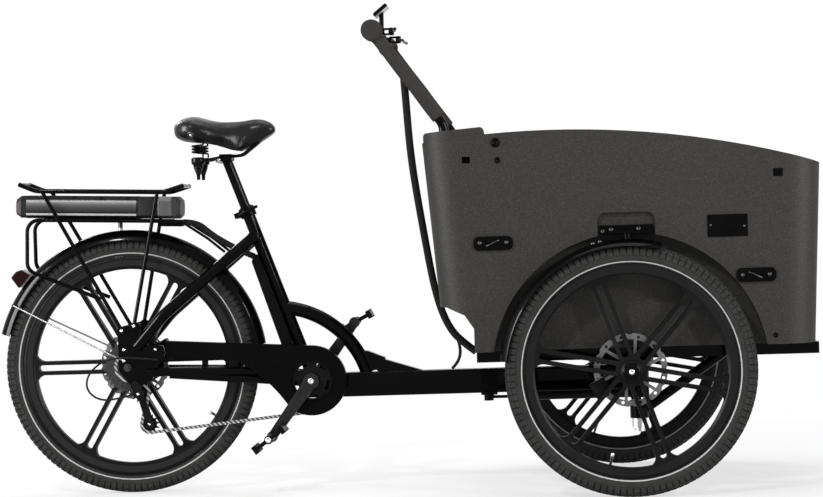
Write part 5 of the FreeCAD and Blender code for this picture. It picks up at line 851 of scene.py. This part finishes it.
# Place along the battery and inset of each section: front cap, its groove, panel and nose, and rear cap
CAP_PARTS = (
    ((93.3, 0.5), (94.5, 0), (144, 0), (145, 0.8)),
    ((145, 3), (149, 3)),
    ((149, 0.8), (150, 0), (183, 0)),
    ((183.2, 1), (184, 0), (196, 0), (206, 9)),
    ((-194.2, 0), (-208, 0), (-222, 9)),
)
mesh = bmesh.new()
skin(mesh, [battery_ring(u, CASE_HALF) for u in (-194, -100, 0, 93)])
shell = add_piece("battery_shell", mesh, case_alloy, "battery")
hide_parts("battery_case")
mesh = bmesh.new()
for stations in CAP_PARTS:
    skin(mesh, [battery_ring(u, CAP_HALF, inset) for u, inset in stations])
caps = add_piece("battery_caps", mesh, cap_plastic, "battery")
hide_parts("battery_ends")
for piece in (shell, caps):
    crease(piece, 25)
print("battery has", len(shell.data.polygons) + len(caps.data.polygons), "faces")

# %% [markdown]
# ## Spring boots
# Each saddle spring stands on a rubber boot: a collar over a cone with moulded ribs that ends in a
# thin spigot.

# %% Spring boots
BOOT_X, BOOT_Y, BOOT_TOP = 195, 48, 866
RIBS = 4
boot = [(-58.5, 0), (-58.5, 3.8), (-57.5, 4.4), (-46, 4.8)]
for k in range(RIBS):
    low, flare = -45 + 5 * k, 1.8 * k
    boot += [(low, 5.2 + flare), (low + 1.5, 6.6 + flare), (low + 3, 6.6 + flare), (low + 4, 6.2 + flare)]
boot += [(-24, 12.6), (-19, 13.4), (-17.8, 16.4), (-16.5, 17.2), (-10, 17.5), (-3, 17.2), (-1.2, 16),
         (-0.5, 14), (-0.5, 0)]
mesh = bmesh.new()
for side in (-1, 1):
    spun(mesh, boot, at(BOOT_X, side * BOOT_Y, BOOT_TOP), (0, 0, 1), 28)
merge(mesh)
boots = add_piece("boots", mesh, boot_rubber, "saddle")
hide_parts("spring_boots")
print("boots have", len(boots.data.polygons), "faces")

# %% [markdown]
# ## Cables
# A cable is a smooth line, so it is a NURBS spline whose control points are the route's own points.
# The order has to be set once the points are there, or the spline stays a row of straight runs.
# Every cable here runs from one fitting to another, so both of its ends go into the object.

# %% Cables
def smooth_line(name, route, thick):
    """A round tube along a smooth line, as curve data. Places and its radius are in millimetres."""
    line = bpy.data.curves.new(name, "CURVE")
    line.dimensions = "3D"
    line.bevel_depth = thick / 1000
    line.bevel_resolution = 5
    line.resolution_u = 12
    line.use_fill_caps = True
    spline = line.splines.new("NURBS")
    spline.points.add(len(route) - 1)
    for point, place in zip(spline.points, route):
        point.co = (*at(*place), 1)
    spline.order_u = 3
    spline.use_endpoint_u = True
    line.materials.append(jacket_rubber)
    return line


# Body, radius in millimetres, length in metres, and route
CABLES = {
    "cable_bundle": ("front_carriage", 9.5, 0.759, (
        (747, -332, 1046), (749, -318, 1006), (752, -298, 930), (755, -284.2, 870), (760, -270.4, 812),
        (767, -253.2, 752), (775, -236, 692), (783, -220.6, 634), (791, -201.6, 576), (800, -184.4, 520),
        (812, -167.2, 468), (830, -155.2, 420), (856, -146.6, 382), (898.8, -138, 348.8))),
    "battery_lead": ("rear_frame", 8.0, 0.210, (
        (145.05, 0, 699.4), (180.8, 0, 698), (214, 0, 668), (250, 0, 644), (291.7, 0, 621.1), (327.6, 0, 604.4))),
    "shift_cable": ("rear_frame", 2.5, 0.361, (
        (78, -80.7, 348), (30, -88, 354), (-20, -96, 358), (-70, -98, 346), (-104, -98, 312),
        (-106, -97, 274), (-74, -93, 248), (-28, -88, 250), (13.4, -85, 261))),
}
cables = {}
for name, (body, thick, length, route) in CABLES.items():
    cables[name] = bpy.data.objects.new(name, smooth_line(name, route, thick))
    scene.collection.objects.link(cables[name])
    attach(cables[name], body)
    tuple(at(*route[0]))
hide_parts("steering_cables")
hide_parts("frame_cables")
print("cables:", list(cables))

# %% [markdown]
# The lead from the bundle to the main tube crosses the steering joint. It is a mesh tube.

# %% Lead across the steering joint
def line_mesh(line):
    """The mesh of a curve, which an object holds for a moment."""
    holder = bpy.data.objects.new(line.name, line)
    mesh = bpy.data.meshes.new_from_object(holder)
    bpy.data.objects.remove(holder)
    return mesh


LEAD = ((853, -141.5, 384), (858, -100.9, 361), (856, -62.9, 335), (846, -32.1, 313), (834, -14.3, 301))
lead_line = smooth_line("frame_lead_line", LEAD, 4.0)
lead = bpy.data.objects.new("frame_lead", line_mesh(lead_line))
lead_line.bevel_depth = 0
lead_path = line_mesh(lead_line)
bpy.data.meshes.remove(lead_path)
scene.collection.objects.link(lead)
at(*LEAD[0])
at(*LEAD[-1])
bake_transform(lead)
print("lead across the steering joint has", len(lead.data.polygons), "faces")

# %% [markdown]
# ## Saddle
# A saddle is foam under stretched leather. The solid is copied, remeshed into even faces, and blown
# up a little as cloth, so its crown rounds out and its edges pull in as a real cover does. The
# points may only move a few millimetres, which keeps the saddle's size, and a smoothing pass takes
# out the small wrinkles of the cloth.

# %% Saddle cushion
def copied_mesh(name):
    """A bmesh of a node's own mesh, with its doubled points merged."""
    mesh = bmesh.new()
    mesh.from_mesh(nodes[name].data)
    merge(mesh, 1e-5)
    return mesh


def bake(piece):
    """Apply every modifier of a piece to its mesh."""
    shaped = piece.evaluated_get(bpy.context.evaluated_depsgraph_get())
    old = piece.data
    piece.data = bpy.data.meshes.new_from_object(shaped)
    piece.modifiers.clear()
    bpy.data.meshes.remove(old)


def remesh(piece, voxel):
    """Even faces of about one voxel over the piece."""
    even = piece.modifiers.new("even", "REMESH")
    even.mode = "VOXEL"
    even.voxel_size = voxel
    bake(piece)


def soften(piece, rounds):
    """A modifier that evens out small bumps."""
    softer = piece.modifiers.new("softer", "SMOOTH")
    softer.factor = 0.5
    softer.iterations = rounds


def table_value(table, x):
    """The value at x between the rows of a table, or None outside of it."""
    for (x0, first), (x1, second) in zip(table, table[1:]):
        if x0 <= x < x1:
            return first + (second - first) * (x - x0) / (x1 - x0)
    return None


saddle = add_piece("saddle_cushion", copied_mesh("saddle_cover"), saddle_leather, "saddle")
remesh(saddle, 0.004)
# Millimetres ahead of the rear axle, with the dip of the crown or the height of the underside there
DIP = ((130, 0.0), (180, 0.0), (225, 3.5), (270, 3.5), (300, 4.5), (355, 2.0), (397, 6.0))
UNDERSIDE = ((300, 882), (325, 891), (353, 905), (394, 926))
DRAWN_IN = 0.002
for vertex, normal in zip(saddle.data.vertices, [v.normal.copy() for v in saddle.data.vertices]):
    vertex.co -= normal * DRAWN_IN
    x = (vertex.co.x - REAR_X) * 1000
    dip, floor_z = table_value(DIP, x), table_value(UNDERSIDE, x)
    if dip is not None:
        vertex.co.z -= dip / 1000
    if floor_z is not None and normal.z < -0.2:
        vertex.co.z = min(vertex.co.z, floor_z / 1000)
saddle.data.update()
PRESSURE, CLOTH_STEPS = 4.0, 20
start = [vertex.co.copy() for vertex in saddle.data.vertices]
blown = saddle.modifiers.new("blown", "CLOTH")
blown.settings.use_pressure = True
blown.settings.uniform_pressure_force = PRESSURE
blown.settings.effector_weights.gravity = 0
for step in range(1, CLOTH_STEPS + 1):
    scene.frame_set(step)
bake(saddle)
scene.frame_set(1)
MOST = 0.005
for vertex, before in zip(saddle.data.vertices, start):
    move = vertex.co - before
    if move.length > MOST:
        vertex.co = before + move.normalized() * MOST
saddle.data.update()
soften(saddle, 14)
finer = saddle.modifiers.new("finer", "SUBSURF")
finer.levels = 1
finer.render_levels = 1
bake(saddle)
shade_faces(saddle.data, True)
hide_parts("saddle_cover")
top = max(vertex.co.z for vertex in saddle.data.vertices)
print("saddle has", len(saddle.data.polygons), "faces, top at", round(top, 4))

# %% [markdown]
# A rivet in a metal eyelet holds the cover on each side of the saddle's wide end. A ray from the
# side finds the leather, so the rivet lies on it whatever the cloth did.

# %% Saddle rivets
RIVET = ((-1, 0), (-1, 3.6), (1.6, 3.4), (2.4, 2.0), (2.6, 0))
EYELET = ((-1, 3.5), (0.6, 3.8), (1.0, 5.5), (1.3, 7.6), (0.8, 8.8), (-1, 9.2))
for name, finish, outline in (("saddle_rivets", zinc_steel, RIVET), ("saddle_eyelets", dark_steel, EYELET)):
    mesh = bmesh.new()
    for side in (-1, 1):
        _, place, normal, _ = saddle.ray_cast(at(186, side * 300, 922), (0, -side, 0))
        spun(mesh, outline, place, normal, 24)
    merge(mesh)
    piece = add_piece(name, mesh, finish, "saddle")
    print(name, "has", len(piece.data.polygons), "faces")

# %% [markdown]
# ## Handlebar padding
# The bar is wrapped in closed-cell foam. Its ends are cut, not moulded, so the edges are only a
# little round, and the foam has shallow dents where hands hold it.

# %% Handlebar padding
padding = add_piece("bar_padding", copied_mesh("handlebar_cover"), bar_foam, "front_carriage")
remesh(padding, 0.003)
soften(padding, 6)
bake(padding)
DENT, DENTS_PER_METRE = 0.0006, 55
for vertex, normal in zip(padding.data.vertices, [v.normal.copy() for v in padding.data.vertices]):
    place = vertex.co * DENTS_PER_METRE
    vertex.co += normal * DENT * math.sin(place.x * 2.1 + place.z) * math.sin(place.y * 1.3 + place.z * 0.7)
shade_faces(padding.data, True)
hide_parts("handlebar_cover")
print("padding has", len(padding.data.polygons), "faces")

# %% [markdown]
# ## Display, vents and lashing hooks
# The display is a glass pane over a thin case with a bright back plate. Both are bevelled blocks,
# turned to the display's own slope.

# %% Display pane and back plate
def bevelled(mesh, verts, width):
    """Round the edges of a block."""
    edges = list({edge for vert in verts for edge in vert.link_edges})
    bmesh.ops.bevel(mesh, geom=edges, offset=width / 1000, offset_type="OFFSET", segments=2, profile=0.5,
                    affect="EDGES", material=-1)


slope = math.radians(39)
up_slope = Vector((math.cos(slope), 0, math.sin(slope)))
facing = Vector((-math.sin(slope), 0, math.cos(slope)))
across = facing.cross(up_slope)
for name, lift, size, finish in (("display_glass", 4.6, (39, 79, 1.6), screen_glass),
                                 ("display_back", -4.6, (42, 82, 1.6), zinc_steel)):
    mesh = bmesh.new()
    verts = brick(mesh, at(677, 0, 1229) + facing * (lift / 1000), up_slope, across, facing, size)
    bevelled(mesh, verts, 0.7)
    add_piece(name, mesh, finish, "front_carriage", smooth=False)
print("display has a pane and a back plate")

# %% [markdown]
# A moulded cover with a raised bar closes the vent near the front of each side wall. A ray from the
# side finds the wall and its slope, so the cover lies flat on it.

# %% Vent covers
VENT_DROP = 0.019
mesh = bmesh.new()
for side in (-1, 1):
    _, place, normal, _ = nodes["cargo_box"].ray_cast(at(1648.7, side * 600, 795), (0, -side, 0))
    level_way = UPRIGHT.cross(normal).normalized()
    cover = place - Vector((0, 0, VENT_DROP))
    verts = brick(mesh, cover, level_way, normal.cross(level_way), normal, (23, 19, 3))
    bevelled(mesh, verts, 0.8)
    verts = brick(mesh, cover + normal * 0.0012, level_way, normal.cross(level_way), normal, (15, 4, 2))
    bevelled(mesh, verts, 0.5)
vents = add_piece("vent_covers", mesh, satin_black, "front_carriage", smooth=False)
print("vent covers have", len(vents.data.polygons), "faces")

# %% [markdown]
# Each tie plate on the box holds a short bent wire that a strap hooks into. It is a smooth line like
# a cable's, and its mesh goes into one piece with the others.

# %% Lashing hooks
mesh = bmesh.new()
for x, z, lean in ((955, 625, 1), (1589, 530, -1)):
    for side in (-1, 1):
        ends = [(x - 17, side * 391, z - 6 * lean), (x - 13, side * 396, z - 5.5 * lean),
                (x + 10, side * 396, z + 7 * lean), (x + 14, side * 391, z + 7.5 * lean)]
        line = smooth_line("hook", ends, 1.6)
        wire = line_mesh(line)
        mesh.from_mesh(wire)
        bpy.data.curves.remove(line)
        bpy.data.meshes.remove(wire)
hooks = add_piece("lashing_hooks", mesh, dark_steel, "front_carriage")
print("hooks have", len(hooks.data.polygons), "faces")
